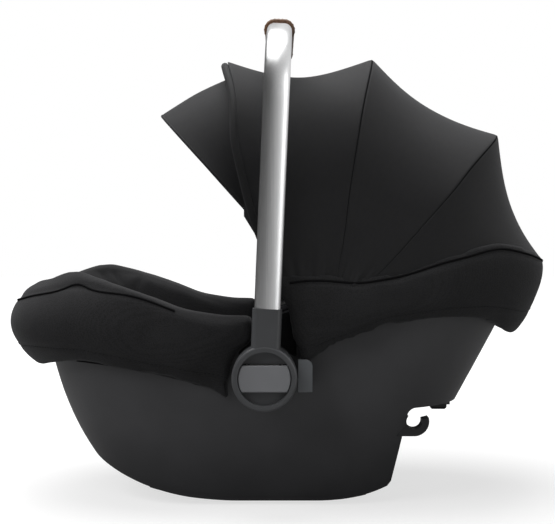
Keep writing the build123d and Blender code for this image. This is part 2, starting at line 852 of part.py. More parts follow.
# Shoulder-belt hook: an upward hook at each side of the rear wall
hook_side = 124.0
hook_width = 20.0
hook_x = 156.0
hook_z = 100.0
hook_bore = 9.0
hook_bar = 8.0
hook_root_x = 130.0
hook_tip = 24.0
with BuildPart() as shoulder_belt_hook:
    with BuildSketch(Plane.XZ.offset(hook_side - hook_width / 2)):
        with Locations((hook_x, hook_z)):
            Circle(hook_bore + hook_bar)
        with BuildLine():
            Polyline(
                (hook_root_x, hook_z + hook_tip),
                (hook_x, hook_z),
                (hook_x + hook_tip, hook_z + hook_tip / 4),
                (hook_x + hook_tip, hook_z + hook_tip),
                close=True,
            )
        make_face(mode=Mode.SUBTRACT)
        with Locations(((hook_root_x + hook_x) / 2, hook_z - hook_bore - hook_bar / 2)):
            Rectangle(hook_x - hook_root_x, hook_bar)
        with Locations((hook_x, hook_z)):
            Circle(hook_bore, mode=Mode.SUBTRACT)
    extrude(amount=hook_width)
    add(slab(underside_profile(runner_drop - gap / 4)) & tub(bucket_levels, gap / 4), mode=Mode.SUBTRACT)
export_pair(shoulder_belt_hook.part, "shoulder_belt_hook")

# Harness: webbing laid on the insert, pads, buckle, tongues and the front adjuster
web_thick = 2.2
web_width = 25.0
web_lift = insert_thick + 2 * gap
shoulder_foot = 34.0
shoulder_top = 116.0
shoulder_foot_y = 22.0
shoulder_splay = 13.0
pad_thick = 7.0
pad_width = 32.0
pad_foot = 56.0
pad_top = 112.0
crotch_front = -62.0
crotch_rear = -14.0


def laid_band(front, rear, low, high, width):
    """Strip lying along the seat surface between two heights above it."""
    strip = slab(above_seat(low), width / 2) - slab(above_seat(high), width / 2)
    return strip & block(front, rear, -width, width, 0, above_all)


def splayed(strip):
    """A shoulder piece set out to the left and turned towards the shoulder."""
    at_origin = strip.moved(Location((-shoulder_foot, 0, 0)))
    turned = at_origin.moved(Location((0, 0, 0), (0, 0, -shoulder_splay)))
    return turned.moved(Location((shoulder_foot, -shoulder_foot_y, 0)))


strap_low = web_lift + 1.5
strap_high = strap_low + web_thick
shoulder_strap = splayed(laid_band(shoulder_foot, shoulder_top, strap_low, strap_high, web_width))
export_pair(shoulder_strap, "shoulder_strap")

pad_low = strap_high + gap
shoulder_pad = splayed(laid_band(pad_foot, pad_top, pad_low, pad_low + pad_thick, pad_width))
export_pair(shoulder_pad, "shoulder_pad")

crotch_strap = laid_band(crotch_front, crotch_rear, web_lift, web_lift + web_thick, web_width)
crotch_strap.label = "crotch_strap"
export_step(crotch_strap, "parts/crotch_strap.step")

# Hip straps run from the buckle out to the side walls of the insert
hip_front = 5.0
hip_line = [(-22.6, 100.6), (-68.0, 101.2), (-96.0, 112.0), (-110.0, 129.0)]
with BuildPart() as hip_strap:
    with BuildSketch(Plane.YZ.offset(hip_front)):
        with BuildLine():
            lower = Spline(hip_line)
            upper = Spline([(y, z + web_thick) for y, z in hip_line])
            Line(lower @ 0, upper @ 0)
            Line(lower @ 1, upper @ 1)
        make_face()
    extrude(amount=web_width)
export_pair(hip_strap.part, "hip_strap")

# Buckle with a push button and two tongues
buckle_front = -24.0
buckle_rear = 30.0
buckle_half = 22.0
buckle_top = 110.0
buckle_round = 5.0
tongue_front = 20.0
tongue_rear = 46.0
tongue_width = 15.0
tongue_thick = 2.0
tongue_y = 12.0
button_front = -16.0
button_rear = 6.0
button_half = 9.0
button_low = 103.0
button_high = 111.5
tongue_low = strap_high + gap


def tongue(grow):
    """Flat tongue on the left, lying over the shoulder strap, grown by grow."""
    tongue_high = tongue_low + tongue_thick
    width = tongue_width + 2 * grow
    band = laid_band(tongue_front - grow, tongue_rear + grow, tongue_low - grow, tongue_high + grow, width)
    return band.moved(Location((0, -tongue_y, 0)))


with BuildPart() as buckle_housing:
    add(block(buckle_front, buckle_rear, -buckle_half, buckle_half, pivot_z / 3, buckle_top))
    fillet(buckle_housing.edges().filter_by(Axis.Z), 3 * buckle_round)
    fillet(buckle_housing.faces().sort_by(Axis.Z)[-1].edges(), buckle_round)
    add(slab(above_seat(web_lift + web_thick + gap)), mode=Mode.INTERSECT)
    room_half = button_half + slat_gap
    room_front = button_front - slat_gap
    room_rear = button_rear + slat_gap
    add(block(room_front, room_rear, -room_half, room_half, button_low - 5, above_all), mode=Mode.SUBTRACT)
    add(tongue(gap / 2), mode=Mode.SUBTRACT)
    add(mirror(tongue(gap / 2), about=Plane.XZ), mode=Mode.SUBTRACT)
buckle_housing.part.label = "buckle_housing"
export_step(buckle_housing.part, "parts/buckle_housing.step")

with BuildPart() as buckle_button:
    add(block(button_front, button_rear, -button_half, button_half, button_low, button_high))
    fillet(buckle_button.faces().sort_by(Axis.Z)[-1].edges(), 1.5)
buckle_button.part.label = "buckle_button"
export_step(buckle_button.part, "parts/buckle_button.step")

export_pair(tongue(0), "buckle_tongue")

# Strap adjuster at the front of the seat: bezel, push lever and webbing tail
adjuster_front = -178.0
adjuster_rear = -142.0
adjuster_width = 46.0
adjuster_high = 7.0
lever_key_front = -169.5
lever_key_rear = -153.0
lever_key_width = 26.0
tail_front = -206.0

with BuildPart() as adjuster_housing:
    add(laid_band(adjuster_front, adjuster_rear, gap, adjuster_high, adjuster_width))
    room = 2.5
    room_width = lever_key_width + 1
    key_room = laid_band(lever_key_front - room, lever_key_rear + room, -wall, 4 * adjuster_high, room_width)
    add(key_room, mode=Mode.SUBTRACT)
adjuster_housing.part.label = "adjuster_housing"
export_step(adjuster_housing.part, "parts/adjuster_housing.step")

adjuster_lever = laid_band(lever_key_front, lever_key_rear, 4.5, adjuster_high + 2.5, lever_key_width)
adjuster_lever.label = "adjuster_lever"
export_step(adjuster_lever, "parts/adjuster_lever.step")

adjuster_strap = laid_band(tail_front, adjuster_front - gap, gap, gap + web_thick, web_width)
adjuster_strap.label = "adjuster_strap"
export_step(adjuster_strap, "parts/adjuster_strap.step")
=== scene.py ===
# Infant car seat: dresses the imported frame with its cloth, padding, webbing and finishes
import json
import math

import bmesh
import bpy
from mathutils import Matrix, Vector, noise
from mathutils.bvhtree import BVHTree
from mathutils.kdtree import KDTree

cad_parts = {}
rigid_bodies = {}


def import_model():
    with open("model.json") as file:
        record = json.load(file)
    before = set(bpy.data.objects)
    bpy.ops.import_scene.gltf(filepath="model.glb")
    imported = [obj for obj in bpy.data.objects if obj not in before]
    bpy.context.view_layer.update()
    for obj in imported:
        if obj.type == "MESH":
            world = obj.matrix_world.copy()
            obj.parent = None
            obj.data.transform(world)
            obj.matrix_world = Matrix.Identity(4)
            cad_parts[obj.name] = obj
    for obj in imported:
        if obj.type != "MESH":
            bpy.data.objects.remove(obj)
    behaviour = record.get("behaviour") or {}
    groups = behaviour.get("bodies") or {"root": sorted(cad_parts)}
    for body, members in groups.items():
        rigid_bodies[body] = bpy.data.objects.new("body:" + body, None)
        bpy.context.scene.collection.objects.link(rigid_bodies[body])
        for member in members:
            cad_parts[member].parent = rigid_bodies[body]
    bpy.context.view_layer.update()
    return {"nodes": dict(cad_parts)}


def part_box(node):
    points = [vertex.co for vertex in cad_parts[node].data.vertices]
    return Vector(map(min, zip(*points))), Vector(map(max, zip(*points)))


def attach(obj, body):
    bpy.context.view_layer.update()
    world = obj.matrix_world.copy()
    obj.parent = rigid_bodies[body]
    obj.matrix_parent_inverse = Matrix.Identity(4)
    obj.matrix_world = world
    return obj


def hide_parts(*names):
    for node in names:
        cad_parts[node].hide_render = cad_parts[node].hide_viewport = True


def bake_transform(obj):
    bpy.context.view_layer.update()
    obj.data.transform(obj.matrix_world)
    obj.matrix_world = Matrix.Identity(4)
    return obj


for leftOver in list(bpy.data.objects):
    bpy.data.objects.remove(leftOver)
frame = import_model()
nodes = frame["nodes"]
scene = bpy.context.scene
mm = 0.001
up = Vector((0.0, 0.0, 1.0))
print("frame loaded:", len(nodes), "nodes")

# The photograph is a side view from just above the rim, lens long enough to keep the arch square
view = {"distance": 1.57, "height": 0.326, "lensPixels": 1266.0, "horizon": 223.0, "width": 555.0,
        "middle": 262.0, "sensor": 36.0}


def placeCamera():
    data = bpy.data.cameras.new("sideCamera")
    data.sensor_fit = "HORIZONTAL"
    data.sensor_width = view["sensor"]
    data.lens = view["lensPixels"] / view["width"] * data.sensor_width
    camera = bpy.data.objects.new("sideCamera", data)
    tilt = math.atan2(view["middle"] - view["horizon"], view["lensPixels"])
    camera.location = (0.0, -view["distance"], view["height"])
    camera.rotation_euler = (math.pi / 2 - tilt, 0.0, 0.0)
    scene.collection.objects.link(camera)
    scene.camera = camera


placeCamera()

# The key lights cloth and plastic without a mirror image, and the strip is only mirrored in the bright tube
studio = {
    "key": {"place": (-1.5, -1.4, 1.8), "aim": (0.0, 0.0, 0.25), "size": (1.6, 1.6), "watts": 31.0,
            "mirrored": False, "lights": True},
    "strip": {"place": (1.5, -1.3, 0.7), "aim": (0.0, 0.0, 0.4), "size": (0.5, 1.8), "watts": 9.0,
              "mirrored": True, "lights": False},
    "top": {"place": (-0.35, 0.25, 2.6), "aim": (0.0, 0.0, 0.3), "size": (2.2, 2.2), "watts": 78.0,
            "mirrored": True, "lights": True},
}
room = {"sky": 0.15, "left": -0.5, "right": 0.8, "dark": 0.08, "bright": 0.95, "floor": 6.0,
        "paper": "#a0a0a0", "near": 0.3, "far": 1.4, "nearGlow": 0.69, "farGlow": 1.0}
white = (1.0, 1.0, 1.0, 1.0)


def linear(hexColour):
    channels = [int(hexColour[i:i + 2], 16) / 255 for i in (1, 3, 5)]
    return tuple(c / 12.92 if c <= 0.04045 else ((c + 0.055) / 1.055) ** 2.4 for c in channels) + (1.0,)


def shade(hexColour, factor):
    return tuple(c * factor for c in linear(hexColour)[:3]) + (1.0,)


def addNode(tree, kind, settings=None, links=None):
    # stops are a colour ramp's (position, colour) pairs; a node given as a link stands for its first output
    node = tree.nodes.new(kind)
    for key, value in (settings or {}).items():
        if key == "stops":
            for stop, (position, colour) in zip(node.color_ramp.elements, value):
                stop.position = position
                stop.color = colour
        elif isinstance(key, int) or key in node.inputs:
            node.inputs[key].default_value = value
        else:
            setattr(node, key, value)
    for key, source in (links or {}).items():
        tree.links.new(source.outputs[0] if isinstance(source, bpy.types.Node) else source, node.inputs[key])
    return node


def startMaterial(name):
    material = bpy.data.materials.new(name)
    material.use_nodes = True
    material.node_tree.nodes.clear()
    return material, material.node_tree


def finishMaterial(material, settings, links):
    shader = addNode(material.node_tree, "ShaderNodeBsdfPrincipled", settings, links)
    addNode(material.node_tree, "ShaderNodeOutputMaterial", links={"Surface": shader})
    return material


def lightStudio():
    for name, lamp in studio.items():
        data = bpy.data.lights.new(name + "Panel", "AREA")
        data.shape = "RECTANGLE"
        data.size, data.size_y = lamp["size"]
        data.energy = lamp["watts"]
        panel = bpy.data.objects.new(name + "Panel", data)
        panel.location = lamp["place"]
        toward = Vector(lamp["aim"]) - Vector(lamp["place"])
        panel.rotation_euler = toward.to_track_quat("-Z", "Y").to_euler()
        panel.visible_glossy = lamp["mirrored"]
        panel.visible_diffuse = lamp["lights"]
        scene.collection.objects.link(panel)


def paintRoom():
    world = bpy.data.worlds.new("whiteStudio")
    scene.world = world
    world.use_nodes = True
    tree = world.node_tree
    tree.nodes.clear()
    path = addNode(tree, "ShaderNodeLightPath").outputs
    seen = addNode(tree, "ShaderNodeMath", {"operation": "MAXIMUM"},
                   {0: path["Is Camera Ray"], 1: path["Is Transmission Ray"]})
    # the room is darker on the left, so the bright tube shades off to that side
    facing = addNode(tree, "ShaderNodeTexCoord")
    axes = addNode(tree, "ShaderNodeSeparateXYZ", links={"Vector": facing.outputs["Generated"]})
    fade = {"From Min": room["left"], "From Max": room["right"],
            "To Min": room["dark"], "To Max": room["bright"]}
    sides = addNode(tree, "ShaderNodeMapRange", fade, {"Value": axes})
    lit = addNode(tree, "ShaderNodeMix", {2: room["sky"]}, {0: path["Is Glossy Ray"], 3: sides})
    strength = addNode(tree, "ShaderNodeMix", {3: 1.0}, {0: seen, 2: lit})
    sky = addNode(tree, "ShaderNodeBackground", {"Color": white}, {"Strength": strength})
    addNode(tree, "ShaderNodeOutputWorld", links={"Surface": sky})


def layFloor():
    bm = bmesh.new()
    bmesh.ops.create_grid(bm, x_segments=1, y_segments=1, size=room["floor"])
    mesh = bpy.data.meshes.new("paleFloor")
    bm.to_mesh(mesh)
    bm.free()
    floor = bpy.data.objects.new("paleFloor", mesh)
    scene.collection.objects.link(floor)
    # paper stays white to the lens and keeps the soft shadow under the seat
    material, tree = startMaterial("whitePaperSweep")
    path = addNode(tree, "ShaderNodeLightPath")
    place = addNode(tree, "ShaderNodeTexCoord")
    away = addNode(tree, "ShaderNodeVectorMath", {"operation": "LENGTH"}, {0: place.outputs["Object"]})
    fade = {"From Min": room["near"], "From Max": room["far"],
            "To Min": room["nearGlow"], "To Max": room["farGlow"]}
    haze = addNode(tree, "ShaderNodeMapRange", fade, {"Value": away.outputs["Value"]})
    glow = addNode(tree, "ShaderNodeMath", {"operation": "MULTIPLY"},
                   {0: path.outputs["Is Camera Ray"], 1: haze})
    paper = {"Roughness": 0.9, "Specular IOR Level": 0.2, "Base Color": linear(room["paper"]),
             "Emission Color": white}
    mesh.materials.append(finishMaterial(material, paper, {"Emission Strength": glow}))


lightStudio()
paintRoom()
layFloor()
scene.view_settings.view_transform = "Standard"
print("camera, lights and floor placed")

multiply = {"data_type": "RGBA", "blend_type": "MULTIPLY", 0: 1.0}


# Moulded polypropylene and nylon out of a spark-eroded tool: a fine dull grain that breaks up the light
def mouldedPlastic(name, hexColour, roughness, grainMm, grainDepth):
    material, tree = startMaterial(name)
    place = addNode(tree, "ShaderNodeTexCoord").outputs["Object"]
    pits = {"Scale": 1 / (grainMm * mm), "Detail": 3.0, "Roughness": 0.6}
    grain = addNode(tree, "ShaderNodeTexNoise", pits, {"Vector": place})
    cloud = addNode(tree, "ShaderNodeTexNoise", {"Scale": 1 / (70 * mm), "Detail": 2.0}, {"Vector": place})
    tones = ((0.3, shade(hexColour, 0.9)), (0.7, shade(hexColour, 1.12)))
    tone = addNode(tree, "ShaderNodeValToRGB", {"stops": tones}, {"Fac": cloud})
    gloss = addNode(tree, "ShaderNodeMapRange", {"To Min": roughness - 0.07, "To Max": roughness + 0.07},
                    {"Value": grain})
    bump = addNode(tree, "ShaderNodeBump", {"Strength": 0.5, "Distance": grainDepth * mm}, {"Height": grain})
    return finishMaterial(material, {"IOR": 1.49, "Specular IOR Level": 0.42},
                          {"Base Color": tone, "Roughness": gloss, "Normal": bump})


shellPlastic = mouldedPlastic("mouldedPolypropylene", "#3e3e40", 0.52, 1.1, 0.10)
hubPlastic = mouldedPlastic("texturedNylonHub", "#464749", 0.44, 0.9, 0.06)
slatPlastic = mouldedPlastic("satinGreyNylon", "#797a7d", 0.36, 0.8, 0.03)
guidePlastic = mouldedPlastic("satinGreyAcetal", "#66696c", 0.40, 0.8, 0.03)
stayPlastic = mouldedPlastic("blackNylonStay", "#1f1f21", 0.50, 0.9, 0.04)
bucklePlastic = mouldedPlastic("blackAcetalBuckle", "#1b1b1d", 0.38, 0.8, 0.03)
leverPlastic = mouldedPlastic("greyAcetalLever", "#55565a", 0.38, 0.8, 0.03)
buttonRed = mouldedPlastic("redAcetalButton", "#b3140f", 0.34, 0.8, 0.02)
gearPlastic = mouldedPlastic("naturalAcetalGear", "#c9c6bd", 0.42, 0.8, 0.02)
runnerRubber = mouldedPlastic("firmBlackRubber", "#242426", 0.70, 1.0, 0.08)
foamBeads = mouldedPlastic("expandedBeadFoam", "#dcdcda", 0.85, 3.2, 0.35)


# Knitted cover over wadding: dull black loops with a soft halo, drawn about twice as coarse to show
def paddedKnit(name, hexColour, loopMm, loopDepth, sheen):
    material, tree = startMaterial(name)
    place = addNode(tree, "ShaderNodeTexCoord").outputs["Object"]
    loops = addNode(tree, "ShaderNodeTexVoronoi", {"Scale": 1 / (loopMm * mm), "Randomness": 0.55},
                    {"Vector": place})
    cloud = addNode(tree, "ShaderNodeTexNoise", {"Scale": 1 / (45 * mm), "Detail": 4.0}, {"Vector": place})
    loopTones = ((0.1, shade(hexColour, 1.25)), (0.75, shade(hexColour, 0.6)))
    loopTone = addNode(tree, "ShaderNodeValToRGB", {"stops": loopTones}, {"Fac": loops})
    cloudTones = ((0.3, (0.85, 0.85, 0.86, 1.0)), (0.7, (1.12, 1.12, 1.12, 1.0)))
    cloudTone = addNode(tree, "ShaderNodeValToRGB", {"stops": cloudTones}, {"Fac": cloud})
    tone = addNode(tree, "ShaderNodeMix", multiply, {6: loopTone, 7: cloudTone})
    bump = addNode(tree, "ShaderNodeBump", {"Strength": 0.55, "Distance": loopDepth * mm, "invert": True},
                   {"Height": loops})
    halo = {"Roughness": 0.88, "Specular IOR Level": 0.25, "Sheen Weight": sheen, "Sheen Roughness": 0.45,
            "Sheen Tint": linear("#9a9a9c")}
    return finishMaterial(material, halo, {"Base Color": tone.outputs[2], "Normal": bump})


coverKnit = paddedKnit("blackPaddedKnit", "#262627", 1.3, 0.35, 0.22)
linerKnit = paddedKnit("blackLiningJersey", "#202022", 1.5, 0.30, 0.18)
# near-black knit for the flap beside the handle's boot: painted shade for the deep gap between the covers
# there
flapShadeKnit = paddedKnit("paintedShadeFlapKnit", "#0b0b0c", 1.2, 0.20, 0.05)
insertKnit = paddedKnit("charcoalInsertJersey", "#2b2b2e", 1.5, 0.30, 0.20)


# Woven polyester: twill ribs on the cloth's own map, in metres, drawn wider apart than real ones so they show
def wovenTwill(name, hexColour, ribMm, ribDepth, sheen):
    material, tree = startMaterial(name)
    place = addNode(tree, "ShaderNodeUVMap", {"uv_map": "cloth"})
    turn = addNode(tree, "ShaderNodeMapping", {"Rotation": (0.0, 0.0, math.radians(58))}, {"Vector": place})
    weave = {"Scale": 1 / (ribMm * mm) / math.pi, "Distortion": 0.6, "Detail": 1.0, "Detail Scale": 2.0}
    ribs = addNode(tree, "ShaderNodeTexWave", weave, {"Vector": turn}).outputs["Fac"]
    slub = addNode(tree, "ShaderNodeTexNoise", {"Scale": 1 / (9 * mm), "Detail": 5.0}, {"Vector": place})
    ribTones = ((0.2, shade(hexColour, 0.8)), (0.8, shade(hexColour, 1.18)))
    ribTone = addNode(tree, "ShaderNodeValToRGB", {"stops": ribTones}, {"Fac": ribs})
    slubTones = ((0.25, (0.88, 0.88, 0.88, 1.0)), (0.75, (1.12, 1.12, 1.13, 1.0)))
    slubTone = addNode(tree, "ShaderNodeValToRGB", {"stops": slubTones}, {"Fac": slub})
    tone = addNode(tree, "ShaderNodeMix", multiply, {6: ribTone, 7: slubTone})
    bump = addNode(tree, "ShaderNodeBump", {"Strength": 0.4, "Distance": ribDepth * mm}, {"Height": ribs})
    halo = {"Roughness": 0.78, "Specular IOR Level": 0.30, "Sheen Weight": sheen, "Sheen Roughness": 0.5,
            "Sheen Tint": linear("#a5a5a8")}
    return finishMaterial(material, halo, {"Base Color": tone.outputs[2], "Normal": bump})


canopyTwill = wovenTwill("blackCanopyTwill", "#1a1a1b", 1.4, 0.20, 0.16)
webbingWeave = wovenTwill("blackHarnessWebbing", "#222224", 2.2, 0.40, 0.10)


# Anodised aluminium, extruded and satin-brushed along the tube: long soft highlight, faint draw lines
def satinTube():
    material, tree = startMaterial("satinAnodisedAluminium")
    place = addNode(tree, "ShaderNodeTexCoord").outputs["Object"]
    stretch = addNode(tree, "ShaderNodeMapping", {"Scale": (1 / (0.7 * mm), 1 / (0.7 * mm), 1 / (60 * mm))},
                      {"Vector": place})
    drawLines = addNode(tree, "ShaderNodeTexNoise", {"Scale": 1.0, "Detail": 3.0}, {"Vector": stretch})
    tones = ((0.3, linear("#cfd0d1")), (0.7, linear("#dcdcdc")))
    tone = addNode(tree, "ShaderNodeValToRGB", {"stops": tones}, {"Fac": drawLines})
    gloss = addNode(tree, "ShaderNodeMapRange", {"To Min": 0.30, "To Max": 0.40}, {"Value": drawLines})
    bump = addNode(tree, "ShaderNodeBump", {"Strength": 0.12, "Distance": 0.02 * mm}, {"Height": drawLines})
    return finishMaterial(material, {"Metallic": 1.0, "Anisotropic": 0.35},
                          {"Base Color": tone, "Roughness": gloss, "Normal": bump})


# Plated steel rod and stamped tongues: bright, slightly hazed by handling
def platedSteel():
    material, tree = startMaterial("brightPlatedSteel")
    place = addNode(tree, "ShaderNodeTexCoord").outputs["Object"]
    haze = addNode(tree, "ShaderNodeTexNoise", {"Scale": 1 / (6 * mm), "Detail": 4.0}, {"Vector": place})
    tones = ((0.3, linear("#b9babc")), (0.7, linear("#cfd0d2")))
    tone = addNode(tree, "ShaderNodeValToRGB", {"stops": tones}, {"Fac": haze})
    gloss = addNode(tree, "ShaderNodeMapRange", {"To Min": 0.16, "To Max": 0.30}, {"Value": haze})
    return finishMaterial(material, {"Metallic": 1.0}, {"Base Color": tone, "Roughness": gloss})


# Leather sleeve on the grip: pebbled grain about 1.8 mm, darker in the creases, a little polished by the hand
def gripHide():
    material, tree = startMaterial("brownGrainedLeather")
    place = addNode(tree, "ShaderNodeTexCoord").outputs["Object"]
    pebble = addNode(tree, "ShaderNodeTexVoronoi", {"Scale": 1 / (1.8 * mm), "feature": "DISTANCE_TO_EDGE"},
                     {"Vector": place})
    cloud = addNode(tree, "ShaderNodeTexNoise", {"Scale": 1 / (16 * mm), "Detail": 4.0}, {"Vector": place})
    creases = ((0.0, linear("#4a3526")), (0.22, linear("#7a5a43")))
    crease = addNode(tree, "ShaderNodeValToRGB", {"stops": creases}, {"Fac": pebble})
    cloudTones = ((0.3, (0.84, 0.82, 0.80, 1.0)), (0.7, (1.12, 1.1, 1.08, 1.0)))
    cloudTone = addNode(tree, "ShaderNodeValToRGB", {"stops": cloudTones}, {"Fac": cloud})
    tone = addNode(tree, "ShaderNodeMix", multiply, {6: crease, 7: cloudTone})
    gloss = addNode(tree, "ShaderNodeMapRange", {"To Min": 0.42, "To Max": 0.60}, {"Value": cloud})
    bump = addNode(tree, "ShaderNodeBump", {"Strength": 0.5, "Distance": 0.15 * mm}, {"Height": pebble})
    return finishMaterial(material, {"Specular IOR Level": 0.45, "IOR": 1.5},
                          {"Base Color": tone.outputs[2], "Roughness": gloss, "Normal": bump})


# Bonded polyester thread: round, twisted, slightly glossy
def twistedThread(name, hexColour, roughness):
    material, tree = startMaterial(name)
    place = addNode(tree, "ShaderNodeTexCoord").outputs["Object"]
    twist = addNode(tree, "ShaderNodeTexNoise", {"Scale": 1 / (0.8 * mm), "Detail": 2.0}, {"Vector": place})
    tones = ((0.3, shade(hexColour, 0.75)), (0.7, shade(hexColour, 1.2)))
    tone = addNode(tree, "ShaderNodeValToRGB", {"stops": tones}, {"Fac": twist})
    return finishMaterial(material, {"Roughness": roughness, "Specular IOR Level": 0.5 * (1 - roughness)},
                          {"Base Color": tone})


tubeMetal = satinTube()
brightSteel = platedSteel()
gripLeather = gripHide()
coverThread = twistedThread("blackSewingThread", "#232324", 0.75)
gripThread = twistedThread("tanSewingThread", "#a08468", 0.6)
pipingCord = twistedThread("blackPipingTape", "#151516", 0.92)

finishes = {
    "shell": shellPlastic, "seat_foam": foamBeads, "handle_tube": tubeMetal,
    "dock_bar_front": brightSteel, "dock_bar_rear": brightSteel,
    "rear_bow": stayPlastic, "mid_bow": stayPlastic, "front_bow": stayPlastic, "visor_hoop": stayPlastic,
    "release_lever": bucklePlastic, "buckle_housing": bucklePlastic, "buckle_button": buttonRed,
    "adjuster_housing": bucklePlastic, "adjuster_lever": leverPlastic,
}
pairFinishes = {
    "pivot_boss": shellPlastic, "rocker_runner": runnerRubber, "hub_housing": hubPlastic,
    "handle_button": slatPlastic, "lock_gear": gearPlastic, "lap_belt_guide": guidePlastic,
    "shoulder_belt_hook": bucklePlastic, "canopy_bracket": stayPlastic, "buckle_tongue": brightSteel,
}
for nodeName, finish in pairFinishes.items():
    finishes[nodeName + "_left"] = finish
    finishes[nodeName + "_right"] = finish
for nodeName, finish in finishes.items():
    nodes[nodeName].data.materials.clear()
    nodes[nodeName].data.materials.append(finish)
print("finishes given to", len(finishes), "moulded and metal pieces")

# Handle tube: its drawn flats are slightly crowned, which the shading shows
tubeForm = {"pivot": (-14.0, 0.0, 159.0), "lean": 2.4, "halfWidth": 14.3, "halfThick": 8.5}


def roundTube():
    lean = math.radians(tubeForm["lean"])
    aside = Vector((math.cos(lean), 0.0, -math.sin(lean)))
    mesh = nodes["handle_tube"].data
    normals = []
    for loop, corner in zip(mesh.loops, mesh.corner_normals):
        normal = corner.vector.copy()
        off = (mesh.vertices[loop.vertex_index].co / mm - Vector(tubeForm["pivot"])).dot(aside)
        flat = normal - aside * normal.dot(aside)
        normals.append((aside * off / tubeForm["halfWidth"] ** 2 + flat / tubeForm["halfThick"]).normalized())
    mesh.normals_split_custom_set(normals)


roundTube()


# Small helpers shared by the soft pieces
def showMesh(name, mesh, material):
    mesh.materials.clear()
    mesh.materials.append(material)
    mesh.polygons.foreach_set("use_smooth", [True] * len(mesh.polygons))
    piece = bpy.data.objects.new(name, mesh)
    scene.collection.objects.link(piece)
    return piece


def addPiece(name, bm, material):
    mesh = bpy.data.meshes.new(name)
    bm.to_mesh(mesh)
    bm.free()
    return showMesh(name, mesh, material)


def finalMesh(piece):
    bpy.context.view_layer.update()
    return bpy.data.meshes.new_from_object(piece.evaluated_get(bpy.context.evaluated_depsgraph_get()))


def applyModifiers(piece):
    done = finalMesh(piece)
    old = piece.data
    piece.modifiers.clear()
    piece.data = done
    bpy.data.meshes.remove(old)


def thicken(piece, thick, offset):
    solid = piece.modifiers.new("clothThickness", "SOLIDIFY")
    solid.thickness = thick * mm
    solid.offset = offset


def roundOff(piece):
    soft = piece.modifiers.new("softSurface", "SUBSURF")
    soft.levels = soft.render_levels = 1


def between(first, second, t):
    return first + (second - first) * t


def along(points, x):
    # smooth curve through (x, value) points, flat beyond its ends
    if x <= points[0][0]:
        return points[0][1]
    if x >= points[-1][0]:
        return points[-1][1]
    i = max(k for k in range(len(points) - 1) if points[k][0] <= x)
    (x0, a), (x1, b) = points[i], points[i + 1]
    before = points[max(i - 1, 0)]
    after = points[min(i + 2, len(points) - 1)]
    t = (x - x0) / (x1 - x0)
    slopeA = (b - before[1]) / (x1 - before[0]) * (x1 - x0)
    slopeB = (after[1] - a) / (after[0] - x0) * (x1 - x0)
    return ((2 * t**3 - 3 * t**2 + 1) * a + (t**3 - 2 * t**2 + t) * slopeA
            + (3 * t**2 - 2 * t**3) * b + (t**3 - t**2) * slopeB)


def smoothStep(low, high, value):
    t = min(max((value - low) / (high - low), 0.0), 1.0)
    return t * t * (3 - 2 * t)


def cordAlong(name, points, radius, material):
    # round cord through points in metres, made a mesh with its place in it
    data = bpy.data.curves.new(name, "CURVE")
    data.dimensions = "3D"
    data.bevel_depth = radius * mm
    data.bevel_resolution = 3
    data.use_fill_caps = True
    spline = data.splines.new("POLY")
    spline.points.add(len(points) - 1)
    for spot, place in zip(spline.points, points):
        spot.co = (*place, 1.0)
    holder = bpy.data.objects.new(name + "Path", data)
    scene.collection.objects.link(holder)
    mesh = finalMesh(holder)
    bpy.data.objects.remove(holder)
    return showMesh(name, mesh, material)


def clothGrid(across, deep, clothSize, shift):
    # flat grid from -0.5 to 0.5 both ways, with its map in metres
    bm = bmesh.new()
    bmesh.ops.create_grid(bm, x_segments=across, y_segments=deep, size=0.5)
    cloth = bm.loops.layers.uv.new("cloth")
    for face in bm.faces:
        for loop in face.loops:
            u, v = loop.vert.co.x + shift, loop.vert.co.y + shift
            loop[cloth].uv = (u * clothSize[0], v * clothSize[1])
    return bm


def faceTowards(bm, direction):
    bmesh.ops.recalc_face_normals(bm, faces=bm.faces)
    bm.faces.ensure_lookup_table()
    if bm.faces[0].normal.dot(direction) < 0:
        bmesh.ops.reverse_faces(bm, faces=bm.faces)


def skinRings(bm, rings):
    # closed rings joined in turn and capped at both ends; gives the side faces ring by ring
    count = len(rings[0])
    rows = []
    for first, second in zip(rings, rings[1:]):
        row = []
        for k in range(count):
            after = (k + 1) % count
            row.append(bm.faces.new((first[k], first[after], second[after], second[k])))
        rows.append(row)
    bm.faces.new(rings[0])
    bm.faces.new(rings[-1])
    return rows


